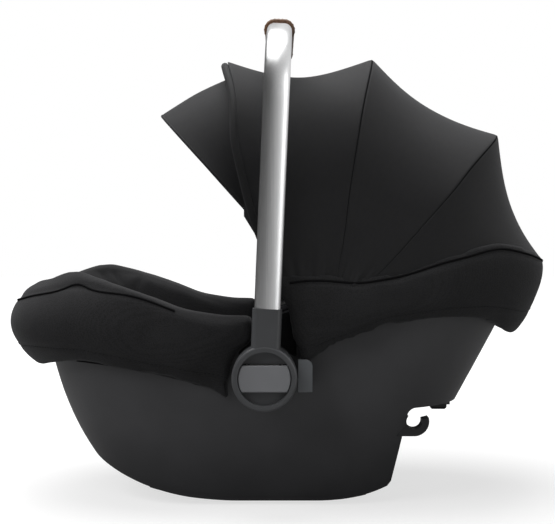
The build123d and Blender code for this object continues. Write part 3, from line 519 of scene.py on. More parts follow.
# Canopy: cloth stretched over three stays that fan out from one pivot each side; a stay's sag is that of the
# cloth behind it, its drift how far back its seam leans at each distance from the pivot
canopy = {
    "pivot": (28.0, 220.0), "half": 188.4, "corner": 130.0, "tailCorner": 158.0,
    "frontStay": 106.5, "midStay": 74.4, "rearStay": 42.2, "tailAngle": 11.5, "tailLow": 4.0, "tailSteps": 22,
    "frontRise": 308.0, "midRise": 309.0, "rearRise": 311.0, "tailRise": 297.0,
    "frontSag": 31.0, "midSag": 27.0, "rearSag": 25.0,
    "sideSag": 6.0, "sagRise": (60.0, 220.0), "sagSide": (0.4, 0.75),
    "thick": 1.6, "across": 150, "deep": 30, "sides": (0.35, 0.6),
    "tuck": 9.0, "footGuess": 44.0, "footSteps": 12, "leastAngle": 30.0,
    "crumple": (1.2, 55.0), "tailCrumple": (1.0, 60.0), "tailDrift": 0.7,
    "gatherReach": 70.0, "gatherDepth": 4.0, "gatherEnds": 0.12, "gatherTurn": 0.30, "gatherLong": 60,
    "gatherStart": 3.0, "gatherAside": 0.002,
    "frontFlat": (0.80, 0.176), "rearFlat": (0.80, 0.175), "tailFlat": (0.74, 0.166),
    "frontArea": 0.104, "rearArea": 0.092, "tailArea": 0.067,
    "frontSwell": [(40.0, 15.0), (80.0, 18.0), (122.0, 20.0), (165.0, 18.0), (210.0, 14.0), (262.0, 6.0),
                   (300.0, 0.0)],
    "frontDrift": [(0.0, 0.0), (1.0, 0.0)],
    "midDrift": [(44.0, 24.0), (90.0, 20.0), (150.0, 11.0), (225.0, 3.0), (300.0, 0.0)],
    "rearDrift": [(44.0, 30.0), (100.0, 25.0), (170.0, 15.0), (245.0, 4.0), (305.0, 0.0)],
    "skirtTop": [(0.0, 259.0), (27.0, 266.0), (60.0, 265.0), (90.0, 262.5), (134.0, 271.0), (180.0, 286.0),
                 (243.0, 301.5), (290.0, 296.0), (345.0, 277.0)],
    "tailAnchor": (0.29, 0, 0.278), "anchorOut": 190, "tailTopOut": 240,
    "pipingRadius": 1.1, "seamSteps": 120,
}
# Rolled front edge, just ahead of the front stay
frontEdge = {"turn": 0.7, "drop": 4.0, "lift": 0.4, "radius": 4.6, "tuckIn": 6.0, "tuckFrom": (60.0, 130.0)}
# Visor: its own hoop hinged low on the front stay, tucked behind the front roll
visor = {"hinge": (-30.0, 337.0), "hoop": 132.6, "back": 98.0, "reach": 156.5, "backReach": 161.5,
         "half": 174.2, "backHalf": 173.4, "corner": 114.0, "foot": 1.0,
         "sag": 5.0, "sideSag": 2.5, "sagSide": (0.4, 0.8), "crumple": (1.0, 45.0),
         "flat": (0.57, 0.095), "area": 0.037, "hemRadius": 2.0, "anchorOut": 110}


def archSpot(s, half, rise, corner, foot):
    # s runs from -1 at the left foot over the top to 1 at the right foot; gives (across, out from the pivot)
    flat, bend, leg = half - corner, corner * math.pi / 2, rise - corner - foot
    d = abs(s) * (flat + bend + leg)
    side = -1.0 if s < 0 else 1.0
    if d <= flat:
        return side * d, rise
    if d <= flat + bend:
        a = (d - flat) / corner
        return side * (flat + corner * math.sin(a)), rise - corner + corner * math.cos(a)
    return side * half, rise - corner - (d - flat - bend)


def besideTop(s):
    # 0 over the top of an arch, 1 down its sides
    return smoothStep(*canopy["sides"], abs(s))


def fanSpot(angle, out, across, centre):
    turn = math.radians(angle)
    return Vector((centre[0] + out * math.cos(turn), across, centre[1] + out * math.sin(turn)))


def skirtFoot(angle):
    # how far out from the pivot the cloth meets the top edge of the rear cover, from a first guess
    out = canopy["footGuess"]
    for _ in range(canopy["footSteps"]):
        spot = fanSpot(angle, out, 0.0, canopy["pivot"])
        target = along(canopy["skirtTop"], spot.x) - canopy["tuck"]
        out += (target - spot.z) / math.sin(math.radians(max(angle, canopy["leastAngle"])))
    return out


def crumple(spot, strength, size):
    # slow unevenness of stretched cloth, along its outward direction
    return strength * noise.noise(spot * (1.0 / size))


def clothSheet(name, spotAt, clothSize):
    # flat grid, each point carried to its place on the frame
    bm = clothGrid(canopy["across"], canopy["deep"], clothSize, 0.5)
    for vert in bm.verts:
        vert.co = spotAt(vert.co.x * 2.0, vert.co.y + 0.5) * mm
    bmesh.ops.recalc_face_normals(bm, faces=bm.faces)
    piece = addPiece(name, bm, canopyTwill)
    thicken(piece, canopy["thick"], -1.0)
    roundOff(piece)
    return piece


def stayPanel(first, second, flare):
    # where the cloth between two stays lies; flare swells its first edge forward over the visor hinge
    def spotAt(s, t):
        angle = between(canopy[first + "Stay"], canopy[second + "Stay"], t)
        dip = 4 * t * (1 - t)
        rise = between(canopy[first + "Rise"], canopy[second + "Rise"], t) - canopy[first + "Sag"] * dip
        foot = skirtFoot(angle)
        across, out = archSpot(s, canopy["half"], rise, canopy["corner"], foot)
        high = smoothStep(*canopy["sagRise"], out)
        slack = canopy["sideSag"] * dip * high * smoothStep(*canopy["sagSide"], abs(s))
        across -= math.copysign(slack, across)
        out += crumple(fanSpot(angle, out, across, canopy["pivot"]), *canopy["crumple"]) * dip
        # short gathers where the cloth is sewn to the skirt
        hem = max(0.0, 1.0 - (out - foot) / canopy["gatherReach"]) if abs(s) > 0.5 else 0.0
        ripple = canopy["gatherStart"] + across * canopy["gatherAside"]
        fold = noise.noise(Vector((angle * canopy["gatherTurn"], ripple, out / canopy["gatherLong"])))
        ends = smoothStep(0.0, canopy["gatherEnds"], t) * smoothStep(0.0, canopy["gatherEnds"], 1 - t)
        across += math.copysign(hem * hem * canopy["gatherDepth"] * (fold - 0.5) * ends, across)
        spot = fanSpot(angle, out, across, canopy["pivot"])
        spot.x -= along(canopy["frontSwell"], out) * flare * (1 - t) ** 3 * besideTop(s)
        drift = along(canopy[first + "Drift"], out) * (1 - t) + along(canopy[second + "Drift"], out) * t
        spot.x += drift * besideTop(s)
        return spot
    return spotAt


def tailSpot(s, t):
    # from the rear stay down to the skirt, which each line of the cloth finds by halving
    angle = canopy["rearStay"]
    foot = skirtFoot(angle)

    def at(turned):
        share = (angle - turned) / (angle - canopy["tailAngle"])
        held = min(share, 1.0)
        dip = 4 * held * (1 - held)
        rise = between(canopy["rearRise"], canopy["tailRise"], share) - canopy["rearSag"] * dip
        corner = between(canopy["corner"], canopy["tailCorner"], share)
        across, out = archSpot(s, canopy["half"], rise, corner, foot)
        spot = fanSpot(turned, out, across, canopy["pivot"])
        spot.x += along(canopy["rearDrift"], out) * besideTop(s) * (1 - canopy["tailDrift"] * held)
        return spot

    low, high = canopy["tailLow"], angle
    for _ in range(canopy["tailSteps"]):
        middle = (low + high) / 2
        spot = at(middle)
        if spot.z < along(canopy["skirtTop"], spot.x) - canopy["tuck"]:
            low = middle
        else:
            high = middle
    spot = at(between(angle, high, t))
    spot.z += crumple(spot, *canopy["tailCrumple"]) * 4 * t * (1 - t)
    return spot


def visorSpot(s, t):
    angle = between(visor["hoop"], visor["back"], t)
    dip = 4 * t * (1 - t)
    reach = between(visor["reach"], visor["backReach"], t) - visor["sag"] * dip
    half = between(visor["half"], visor["backHalf"], t)
    half -= visor["sideSag"] * dip * smoothStep(*visor["sagSide"], abs(s))
    across, out = archSpot(s, half, reach, visor["corner"], visor["foot"])
    out += crumple(fanSpot(angle, out, across, visor["hinge"]), *visor["crumple"]) * dip
    return fanSpot(angle, out, across, visor["hinge"])


def stayLine(angle, rise, drift, lift=0.0, flare=0.0, tuckIn=0.0):
    # points along the seam over a stay, lift proud of the cloth; tuckIn draws its feet in behind the skirt
    points = []
    for k in range(canopy["seamSteps"] + 1):
        s = 2 * k / canopy["seamSteps"] - 1
        across, out = archSpot(s, canopy["half"] + lift, rise + lift, canopy["corner"], skirtFoot(angle))
        spot = fanSpot(angle, out, across, canopy["pivot"])
        spot.x += (along(drift, out) - along(canopy["frontSwell"], out) * flare) * besideTop(s)
        drawn = tuckIn * (1 - smoothStep(*frontEdge["tuckFrom"], out)) * besideTop(s)
        spot.y -= math.copysign(drawn, spot.y)
        points.append(spot * mm)
    return points


def staySeam(name, stay):
    seam = stayLine(canopy[stay + "Stay"], canopy[stay + "Rise"], canopy[stay + "Drift"])
    return cordAlong(name, seam, canopy["pipingRadius"], pipingCord)


frontCloth = clothSheet("canopyFrontCloth", stayPanel("front", "mid", 1.0), canopy["frontFlat"])
rearCloth = clothSheet("canopyRearCloth", stayPanel("mid", "rear", 0.0), canopy["rearFlat"])
tailCloth = clothSheet("canopyTailCloth", tailSpot, canopy["tailFlat"])
visorCloth = clothSheet("canopyVisorCloth", visorSpot, visor["flat"])
rollLine = stayLine(canopy["frontStay"] + frontEdge["turn"], canopy["frontRise"] - frontEdge["drop"],
                    canopy["frontDrift"], frontEdge["lift"], 1.0, frontEdge["tuckIn"])
frontRoll = cordAlong("canopyFrontRoll", rollLine, frontEdge["radius"], canopyTwill)
midPiping = staySeam("canopyMidPiping", "mid")
rearPiping = staySeam("canopyRearPiping", "rear")
hemLine = [visorSpot(2 * k / canopy["seamSteps"] - 1, 0.0) * mm for k in range(canopy["seamSteps"] + 1)]
visorHem = cordAlong("canopyVisorHem", hemLine, visor["hemRadius"], canopyTwill)

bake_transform(frontCloth)
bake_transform(rearCloth)
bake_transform(tailCloth)
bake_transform(visorCloth)
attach(frontRoll, "front_bow")
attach(midPiping, "mid_bow")
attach(rearPiping, "rear_bow")
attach(visorHem, "visor")
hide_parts("canopy_front_panel")
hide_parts("canopy_rear_panel")
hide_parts("canopy_tail_panel")
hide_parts("canopy_visor")
print("canopy cloth stretched over its stays")


# Padded covers: the CAD solid is remeshed, swollen by a cloth run with inner pressure, fitted to the edge
# lines seen from the side and held off its neighbours
padding = {"frames": 20, "quality": 5, "mass": 0.3, "stretch": 14.0, "bend": 0.7, "search": 14.0,
           "clear": 0.5, "inside": 0.7, "skin": 18.0, "nose": (8.0, 62.0), "belowTop": 6.0, "ease": 1.4,
           "binWidth": 9.0, "frontTop": 258.0, "frontOut": -14.0, "frontIn": 6.0, "frontFade": 60.0,
           "weld": 0.02, "fillFrom": 0.2, "fillShare": 0.9, "edgeEase": 5}
valley = {"reach": 2.5, "facing": -0.2}
thread = {"parts": (-0.5, -0.25, 0.0, 0.25, 0.5), "lift": 0.9, "arch": 5.6, "thinFrom": 0.4, "thin": 0.6,
          "sides": 5}
coverSeams = {"hemUp": 6.0, "pipingDip": (1.5, 4.5), "hemDip": (0.7, 3.5), "pipingLift": 0.6,
              "pipingRadius": 1.2, "pipingEase": 6, "stitchLift": 0.1, "stitch": (4.6, 3.2, 0.35),
              "out": 8, "ease": 30, "steps": 260}
frontPad = {"voxel": 4.2, "soften": 6, "shrink": 0.8, "cap": 6.0, "pressure": 4.0, "fill": 3.0,
            "end": -50.0, "tip": -320.5, "half": 187.0, "corner": 150.0,
            "round": 14.0, "cornerSpot": (-48.0, 142.0), "pipingEnd": -112.0,
            "top": [(-325.0, 240.0), (-310.0, 243.0), (-295.0, 248.0), (-277.0, 256.0), (-255.0, 265.0),
                    (-228.0, 270.0), (-205.0, 266.0), (-172.0, 256.5), (-139.0, 245.0), (-107.0, 233.0),
                    (-85.0, 228.0), (-48.0, 220.0)],
            "low": [(-325.0, 166.0), (-290.0, 170.0), (-245.0, 172.0), (-216.0, 171.5), (-172.0, 164.5),
                    (-128.0, 156.5), (-85.0, 147.0), (-48.0, 144.0)],
            "piping": [(-325.0, 247.0), (-300.0, 262.0), (-285.0, 268.0), (-252.0, 273.0), (-227.0, 271.5),
                       (-194.0, 263.0), (-150.0, 249.5), (-120.0, 239.0), (-100.0, 233.0)],
            "clearOf": ("shell", "seat_foam", "infant_insert", "seat_liner", "pivot_boss_left",
                        "pivot_boss_right")}
rearPad = {"voxel": 4.2, "soften": 4, "shrink": 0.5, "cap": 5.0, "pressure": 3.5, "fill": 2.5,
           "end": 14.0, "tip": 319.5, "half": 192.0, "corner": 160.0,
           "round": 14.0, "cornerSpot": (21.5, 179.0), "pipingEnd": 400.0,
           "top": [(0.0, 262.0), (27.0, 269.0), (60.0, 268.5), (90.0, 266.5), (134.0, 275.5), (180.0, 289.0),
                   (243.0, 302.5), (290.0, 296.0), (330.0, 281.0)],
           "low": [(15.0, 180.0), (35.0, 179.5), (55.0, 186.0), (98.0, 206.0), (134.0, 216.0), (188.0, 221.5),
                   (245.0, 217.5), (265.0, 214.0), (300.0, 209.0), (330.0, 206.0)],
           "front": [(180.0, 22.0), (209.0, 15.8), (235.0, 9.3), (262.0, 4.5)],
           "piping": [(0.0, 258.5), (27.0, 265.5), (60.0, 265.0), (90.0, 263.0), (134.0, 272.0),
                      (180.0, 285.5), (243.0, 299.0), (290.0, 293.0), (330.0, 278.0)],
           "clearOf": ("shell", "lap_belt_guide_left", "lap_belt_guide_right")}
rimLine = [(-400.0, 240.0), (-300.0, 246.0), (-243.0, 255.0), (-150.0, 241.0), (-60.0, 207.0), (5.0, 227.0),
           (62.0, 246.0), (150.0, 266.0), (240.0, 284.0), (330.0, 270.0)]
hubReach = {"from": (-115.0, -48.0), "lift": 0.4, "liftFrom": (194.0, 204.0),
            "further": [(150.0, -2.5), (165.0, -2.5), (175.0, 0.5), (183.0, 5.5), (189.0, 12.5),
                        (193.0, 18.5), (196.0, 21.0)]}
stayRoom = {"rear": 150.0, "bottom": 218.0, "inner": 168.0, "clear": 189.4, "taper": 1.6,
            "taperFrom": 100.0}


def looseMesh(nodeName):
    bm = bmesh.new()
    bm.from_mesh(nodes[nodeName].data)
    bmesh.ops.remove_doubles(bm, verts=bm.verts, dist=padding["weld"] * mm)
    return bm


def surfaceTree(mesh):
    corners = [vert.co for vert in mesh.vertices]
    return BVHTree.FromPolygons(corners, [face.vertices for face in mesh.polygons])


def smoothOut(piece, times, shrink=0.0):
    # eases the mesh, then draws it in along its normals
    bm = bmesh.new()
    bm.from_mesh(piece.data)
    for _ in range(times):
        bmesh.ops.smooth_vert(bm, verts=bm.verts, factor=0.5, use_axis_x=True, use_axis_y=True,
                              use_axis_z=True)
    bm.normal_update()
    for vert in bm.verts:
        vert.co -= vert.normal * shrink * mm
    bm.to_mesh(piece.data)
    bm.free()


def wadded(name, nodeName, pad, material):
    # closed cover of even faces a little inside the CAD solid, its sharp edges softened
    piece = addPiece(name, looseMesh(nodeName), material)
    remesh = piece.modifiers.new("evenFaces", "REMESH")
    remesh.mode = "VOXEL"
    remesh.voxel_size = pad["voxel"] * mm
    applyModifiers(piece)
    smoothOut(piece, pad["soften"], pad["shrink"])
    return piece


def swell(piece, pad):
    # a short cloth run, each point held within the cap of where it began
    start = [vert.co.copy() for vert in piece.data.vertices]
    cloth = piece.modifiers.new("wadding", "CLOTH").settings
    cloth.quality = padding["quality"]
    cloth.mass = padding["mass"]
    cloth.tension_stiffness = padding["stretch"]
    cloth.compression_stiffness = padding["stretch"]
    cloth.bending_stiffness = padding["bend"]
    cloth.use_pressure = True
    cloth.uniform_pressure_force = pad["pressure"]
    cloth.effector_weights.gravity = 0.0
    for step in range(1, padding["frames"] + 1):
        scene.frame_set(step)
    applyModifiers(piece)
    scene.frame_set(1)
    cap = pad["cap"] * mm
    for vert, before in zip(piece.data.vertices, start):
        moved = vert.co - before
        if moved.length > cap:
            vert.co = before + moved * (cap / moved.length)


def holdOff(piece, neighbours):
    # a point that has come through a neighbour's face goes back out of it
    clear = padding["clear"] * mm
    for nodeName in neighbours:
        tree = surfaceTree(nodes[nodeName].data)
        for vert in piece.data.vertices:
            near, normal, _, far = tree.find_nearest(vert.co, padding["search"] * mm)
            if near is None:
                continue
            if far < clear or (vert.co - near).dot(normal) < -padding["inside"] * far:
                vert.co = near + normal * padding["clear"] * mm


def fillOut(piece, nodeName, reach):
    # brings the surface back out towards the CAD solid where the softening had drawn it in
    tree = surfaceTree(nodes[nodeName].data)
    for vert in piece.data.vertices:
        near, normal, _, far = tree.find_nearest(vert.co)
        if (vert.co - near).dot(normal) < 0 and far > padding["fillFrom"] * mm:
            vert.co += (near - vert.co) * min(padding["fillShare"], reach * mm / far)


def reachHub(piece):
    # the front cover runs on above the pivot boss until the handle's boot hides its end
    for vert in piece.data.vertices:
        x, z = vert.co.x / mm, vert.co.z / mm
        further = x + along(hubReach["further"], z) * smoothStep(*hubReach["from"], x)
        rise = along(rimLine, further) - along(rimLine, x)
        lift = hubReach["lift"] * rise * smoothStep(*hubReach["liftFrom"], z)
        vert.co.x, vert.co.z = further * mm, (z + lift) * mm


def isOuter(spot, pad):
    # whether a point lies in the cover's outer skin, seen in plan
    sign = 1.0 if pad["tip"] > 0 else -1.0
    past = max(sign * (spot.x / mm - pad["tip"]) + pad["corner"], 0.0)
    aside = max(abs(spot.y / mm) - pad["half"] + pad["corner"], 0.0)
    return math.hypot(past, aside) > pad["corner"] - padding["skin"]


def edgeTable(piece, pad, run, rise, pick):
    # outermost value along one axis in even steps of another, eased with its neighbours
    table = {}
    for vert in piece.data.vertices:
        if pick is min and not isOuter(vert.co, pad):
            continue
        step = round(vert.co[run] / mm / padding["binWidth"])
        value = vert.co[rise] / mm
        table[step] = pick(table.get(step, value), value)
    for _ in range(padding["edgeEase"]):
        table = {k: (table.get(k - 1, v) + 2 * v + table.get(k + 1, v)) / 4 for k, v in table.items()}
    return table


def readTable(table, where):
    steps = where / padding["binWidth"]
    low = math.floor(steps)
    first = table.get(low, table.get(low + 1, 0.0))
    return between(first, table.get(low + 1, first), steps - low)


def fitEdges(piece, pad):
    # top edge and hem are eased to the lines that the cover shows from the side; its middle stays
    tops, lows = edgeTable(piece, pad, 0, 2, max), edgeTable(piece, pad, 0, 2, min)
    for vert in piece.data.vertices:
        x, z = vert.co.x / mm, vert.co.z / mm
        top, low = readTable(tops, x), readTable(lows, x)
        middle = min(along(rimLine, x), top - padding["belowTop"]) if pad["tip"] < 0 else (top + low) / 2
        share = smoothStep(*padding["nose"], abs(pad["tip"] - x))
        line, edge = ("top", top) if z > middle else ("low", low)
        part = min((z - middle) / (edge - middle), 1.0) ** padding["ease"]
        vert.co.z = (z + share * (along(pad[line], x) - edge) * part) * mm
    if "front" in pad:
        fronts = edgeTable(piece, pad, 2, 0, min)
        for vert in piece.data.vertices:
            x, z = vert.co.x / mm, vert.co.z / mm
            edge = readTable(fronts, min(z, padding["frontTop"]))
            shift = min(max(along(pad["front"], z) - edge, padding["frontOut"]), padding["frontIn"])
            vert.co.x += shift * mm * (1 - smoothStep(edge, edge + padding["frontFade"], x))


def roundCorner(piece, pad):
    # the square lower corner beside the hub becomes a quarter circle
    sign = 1.0 if pad["tip"] < 0 else -1.0
    reach = pad["round"]
    middleX, middleZ = pad["cornerSpot"][0] - sign * reach, pad["cornerSpot"][1] + reach
    for vert in piece.data.vertices:
        over = sign * (vert.co.x / mm - middleX)
        under = middleZ - vert.co.z / mm
        if 0 < over < 2 * reach and 0 < under < 2 * reach:
            share = max(over, under) / math.hypot(over, under)
            vert.co.x = (middleX + sign * over * share) * mm
            vert.co.z = (middleZ - under * share) * mm


def wrapPath(pad, steps):
    # (place, inward direction) round one end of the seat in plan, from the left side to the right
    sign = 1.0 if pad["tip"] > 0 else -1.0
    corner, flat = pad["corner"], pad["half"] - pad["corner"]
    centre = pad["tip"] - sign * corner
    straight, bend = abs(centre - pad["end"]), corner * math.pi / 2
    whole = 2 * (straight + bend + flat)
    path = []
    for k in range(steps + 1):
        gone = whole * k / steps
        side = -1.0 if gone < whole / 2 else 1.0
        gone = min(gone, whole - gone)
        turn = min(max((gone - straight) / corner, 0.0), math.pi / 2)
        x = pad["end"] + sign * min(gone, straight) + sign * corner * math.sin(turn)
        y = flat + corner * math.cos(turn) - max(gone - straight - bend, 0.0)
        inward = Vector((-sign * math.sin(turn), -side * math.cos(turn), 0.0))
        path.append((Vector((x, side * y, 0.0)), inward))
    return path


def clearStays(piece):
    # the inside of the skirt stays outside the canopy stays, which fold back past it
    for vert in piece.data.vertices:
        x, y, z = vert.co / mm
        beside = x < stayRoom["rear"] and z > stayRoom["bottom"]
        if beside and stayRoom["inner"] < abs(y) < stayRoom["clear"]:
            taper = stayRoom["taper"] * smoothStep(stayRoom["taperFrom"], stayRoom["rear"], x)
            vert.co.y = math.copysign(stayRoom["clear"] - taper, y) * mm


def easeLine(points, times):
    for _ in range(times):
        inner = [(a + b * 2 + c) / 4 for a, b, c in zip(points, points[1:], points[2:])]
        points = points[:1] + inner + points[-1:]
    return points


def seamOn(piece, pad, line, lift):
    # points and normals where a sewn line at the heights in line lies on the cover
    tree = surfaceTree(piece.data)
    spots = []
    for place, inward in wrapPath(pad, coverSeams["steps"]):
        spot = place - inward * coverSeams["out"]
        spot.z = along(line, place.x)
        spots.append(tree.find_nearest(spot * mm)[0])
    seam = []
    for spot in easeLine(spots, coverSeams["ease"]):
        hit, normal, _, _ = tree.find_nearest(spot)
        seam.append((hit + normal * lift * mm, normal))
    return seam


def pressValley(piece, seam, depth, width):
    # the cover is drawn in along a sewn line and stays full on both sides
    finder = KDTree(len(seam))
    for k, (spot, _) in enumerate(seam):
        finder.insert(spot, k)
    finder.balance()
    for vert in piece.data.vertices:
        _, k, far = finder.find(vert.co)
        share = far / (width * mm)
        if share < valley["reach"] and vert.normal.dot(seam[k][1]) > valley["facing"]:
            vert.co -= seam[k][1] * depth * mm * math.exp(-share * share)


def stitchRow(name, seam, stitch, material):
    # separate stitches of (pitch, length, radius), each a short thread that arches out of the cloth
    pitch, length, radius = [value * mm for value in stitch]
    turns = [math.tau * k / thread["sides"] for k in range(thread["sides"])]
    bm = bmesh.new()
    gone, nextAt = 0.0, 0.0
    for (here, above), (there, _) in zip(seam, seam[1:]):
        step = (there - here).length
        while nextAt <= gone + step and step > 0:
            run = (there - here) / step
            middle = here + run * (nextAt - gone)
            across = run.cross(above).normalized()
            rings = []
            for part in thread["parts"]:
                thin = radius * (1.0 if abs(part) < thread["thinFrom"] else thread["thin"])
                lift = radius * (thread["lift"] - thread["arch"] * part * part)
                spot = middle + run * part * length + above * lift
                around = [across * math.cos(turn) * thin + above * math.sin(turn) * thin for turn in turns]
                rings.append([bm.verts.new(spot + off) for off in around])
            skinRings(bm, rings)
            nextAt += pitch
        gone += step
    bmesh.ops.recalc_face_normals(bm, faces=bm.faces)
    return addPiece(name, bm, material)


def makeCover(name, nodeName, pad):
    cover = wadded(name, nodeName, pad, coverKnit)
    swell(cover, pad)
    smoothOut(cover, 2)
    fillOut(cover, nodeName, pad["fill"])
    smoothOut(cover, 2)
    fitEdges(cover, pad)
    smoothOut(cover, 1)
    fitEdges(cover, pad)
    roundCorner(cover, pad)
    if nodeName == "front_cover":
        reachHub(cover)
    cover.data.update()
    hem = [(x, z + coverSeams["hemUp"]) for x, z in pad["low"]]
    pressValley(cover, seamOn(cover, pad, pad["piping"], 0.0), *coverSeams["pipingDip"])
    pressValley(cover, seamOn(cover, pad, hem, 0.0), *coverSeams["hemDip"])
    holdOff(cover, pad["clearOf"])
    if nodeName == "rear_cover":
        clearStays(cover)
    roundOff(cover)
    line = [spot for spot, _ in seamOn(cover, pad, pad["piping"], coverSeams["pipingLift"])]
    line = easeLine([spot for spot in line if spot.x < pad["pipingEnd"] * mm], coverSeams["pipingEase"])
    piping = cordAlong(name + "Piping", line, coverSeams["pipingRadius"], pipingCord)
    hemSeam = seamOn(cover, pad, hem, coverSeams["stitchLift"])
    stitches = stitchRow(name + "HemStitches", hemSeam, coverSeams["stitch"], coverThread)
    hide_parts(nodeName)
    for part in (cover, piping, stitches):
        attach(part, "shell")


makeCover("frontCover", "front_cover", frontPad)
makeCover("rearCover", "rear_cover", rearPad)
print("front and rear covers padded and sewn")


# Seat interior: lining, infant insert, head support and shoulder pads, each swollen like the covers
linerPad = {"voxel": 5.2, "soften": 3, "shrink": 0.4, "cap": 4.0, "pressure": 2.5,
            "clearOf": ("seat_foam", "shell"), "under": "adjuster_lever",
            "channels": [(-190.0, 95.0), (-140.0, 105.0), (230.0, 120.0)]}
insertPad = {"voxel": 4.6, "soften": 5, "shrink": 0.8, "cap": 6.0, "pressure": 3.5,
             "clearOf": ("seat_liner",),
             "channels": [(-66.0, 70.0), (-22.0, 80.0), (34.0, 90.0), (78.0, 92.0), (118.0, 95.0)]}
headPad = {"voxel": 4.6, "soften": 7, "shrink": 1.0, "cap": 7.0, "pressure": 4.0,
           "clearOf": ("infant_insert", "seat_liner"), "channels": [(186.0, 70.0)]}
strapPad = {"voxel": 2.6, "soften": 4, "shrink": 0.5, "cap": 2.0, "pressure": 2.0,
            "clearOf": (), "channels": []}
channelSeams = {"dip": (2.6, 5.0), "lift": 0.1, "stitch": (4.4, 3.2, 0.32), "steps": 60, "leastRise": 0.2}
leverRoom = {"travel": 4.0, "clear": 3.2, "below": 20.0}
overhead = 420.0


def dropOn(tree, x, y):
    return tree.ray_cast(Vector((x, y, overhead)) * mm, -up, overhead * mm)


def channelOn(piece, x, half):
    # sewn line straight across the seat, dropped on the pad from above
    tree = surfaceTree(piece.data)
    seam = []
    for k in range(channelSeams["steps"] + 1):
        hit, normal, _, _ = dropOn(tree, x, half * (2 * k / channelSeams["steps"] - 1))
        if hit is not None and normal.z > channelSeams["leastRise"]:
            seam.append((hit, normal))
    return seam


def sinkUnder(piece, nodeName):
    # the pad is pressed down under a lever that moves over it, also where the lever is going to be
    tree = surfaceTree(nodes[nodeName].data)
    for vert in piece.data.vertices:
        for ahead in (0.0, 0.5 * leverRoom["travel"], leverRoom["travel"]):
            below = Vector((vert.co.x + ahead * mm, vert.co.y, vert.co.z - leverRoom["below"] * mm))
            hit = tree.ray_cast(below, up, 2 * leverRoom["below"] * mm)[0]
            if hit is not None:
                vert.co.z = min(vert.co.z, hit.z - leverRoom["clear"] * mm)


def makePad(name, nodeName, pad, material):
    piece = wadded(name, nodeName, pad, material)
    swell(piece, pad)
    piece.data.update()
    for x, half in pad["channels"]:
        pressValley(piece, channelOn(piece, x, half), *channelSeams["dip"])
    holdOff(piece, pad["clearOf"])
    if "under" in pad:
        sinkUnder(piece, pad["under"])
    threads = []
    for k, (x, half) in enumerate(pad["channels"]):
        row = [(spot + normal * channelSeams["lift"] * mm, normal)
               for spot, normal in channelOn(piece, x, half)]
        threads.append(stitchRow(name + "Channel" + str(k + 1), row, channelSeams["stitch"], coverThread))
    roundOff(piece)
    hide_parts(nodeName)
    for part in [piece] + threads:
        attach(part, "shell")


makePad("seatLining", "seat_liner", linerPad, linerKnit)
makePad("infantInsert", "infant_insert", insertPad, insertKnit)
makePad("headSupport", "head_support", headPad, insertKnit)
for side in ("left", "right"):
    makePad("shoulderPad" + side.title(), "shoulder_pad_" + side, strapPad, linerKnit)
print("lining, insert, head support and shoulder pads swollen")

# Harness webbing: flat ribbons with a raised selvedge, laid where the CAD straps lie
webbing = {"width": 25.0, "thick": 1.9, "across": 10, "deep": 40, "selvedge": 0.25,
           "selvedgeFrom": (0.40, 0.47), "edgeRound": 0.5,
           "fitAcross": 0.985, "fitStart": 0.006, "fitAlong": 0.988}
shoulderRun = {"foot": 34.0, "top": 116.0, "footY": 22.0, "splay": 13.0}
hipRun = {"front": 5.0, "inner": 22.9, "long": 86.6}
crotchRun = {"front": -62.0, "rear": -14.0}
adjusterRun = {"front": -206.0, "rear": -178.4}


def shoulderPlace(side):
    turn = math.radians(shoulderRun["splay"])

    def place(u, v):
        gone = (shoulderRun["top"] - shoulderRun["foot"]) * v
        x = shoulderRun["foot"] + math.cos(turn) * gone - side * math.sin(turn) * u
        return x, side * (shoulderRun["footY"] + math.sin(turn) * gone) + math.cos(turn) * u
    return place


def alongSeat(run):
    return lambda u, v: (between(run["front"], run["rear"], v), u)


def acrossSeat(side):
    middle = hipRun["front"] + webbing["width"] / 2
    return lambda u, v: (middle + u, side * (hipRun["inner"] + hipRun["long"] * v))


def layWebbing(name, nodeName, place):
    tree = surfaceTree(nodes[nodeName].data)
    long = max(high - low for low, high in zip(*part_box(nodeName)))
    bm = clothGrid(webbing["across"], webbing["deep"], (webbing["width"] * mm, long), 0.0)
    for vert in bm.verts:
        u = vert.co.x * webbing["fitAcross"]
        v = webbing["fitStart"] + (vert.co.y + 0.5) * webbing["fitAlong"]
        x, y = place(u * webbing["width"], v)
        hit = dropOn(tree, x, y)[0]
        if hit is None:
            hit = tree.find_nearest(Vector((x, y, overhead)) * mm)[0]
        edge = smoothStep(*webbing["selvedgeFrom"], abs(u))
        vert.co = hit - Vector((0.0, 0.0, (1 - edge) * webbing["selvedge"] * mm))
    faceTowards(bm, up)
    strap = addPiece(name, bm, webbingWeave)
    thicken(strap, webbing["thick"], -1.0)
    soft = strap.modifiers.new("roundEdge", "BEVEL")
    soft.width = webbing["edgeRound"] * mm
    soft.segments = 2
    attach(strap, "shell")
    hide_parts(nodeName)


for side, sign in (("left", -1.0), ("right", 1.0)):
    layWebbing("shoulderWebbing" + side.title(), "shoulder_strap_" + side, shoulderPlace(sign))
    layWebbing("hipWebbing" + side.title(), "hip_strap_" + side, acrossSeat(sign))
layWebbing("crotchWebbing", "crotch_strap", alongSeat(crotchRun))
layWebbing("adjusterWebbing", "adjuster_strap", alongSeat(adjusterRun))
print("harness webbing laid")

# Bound edge: the lining folds over the foam and the bucket's rim, from the hubs round the head end
binding = {"end": -46.0, "tip": 300.0, "half": 172.0, "corner": 140.0, "steps": 220, "below": 5.0,
           "start": 60, "reach": 140,
           "section": [(0.4, 0.9), (0.9, 4.0), (4.0, 6.2), (12.0, 7.2), (20.0, 6.2), (25.0, 2.8),
                       (26.2, -1.2), (26.0, -5.2), (15.0, -5.4), (4.8, -5.2), (4.7, 0.6), (2.5, 0.8)]}
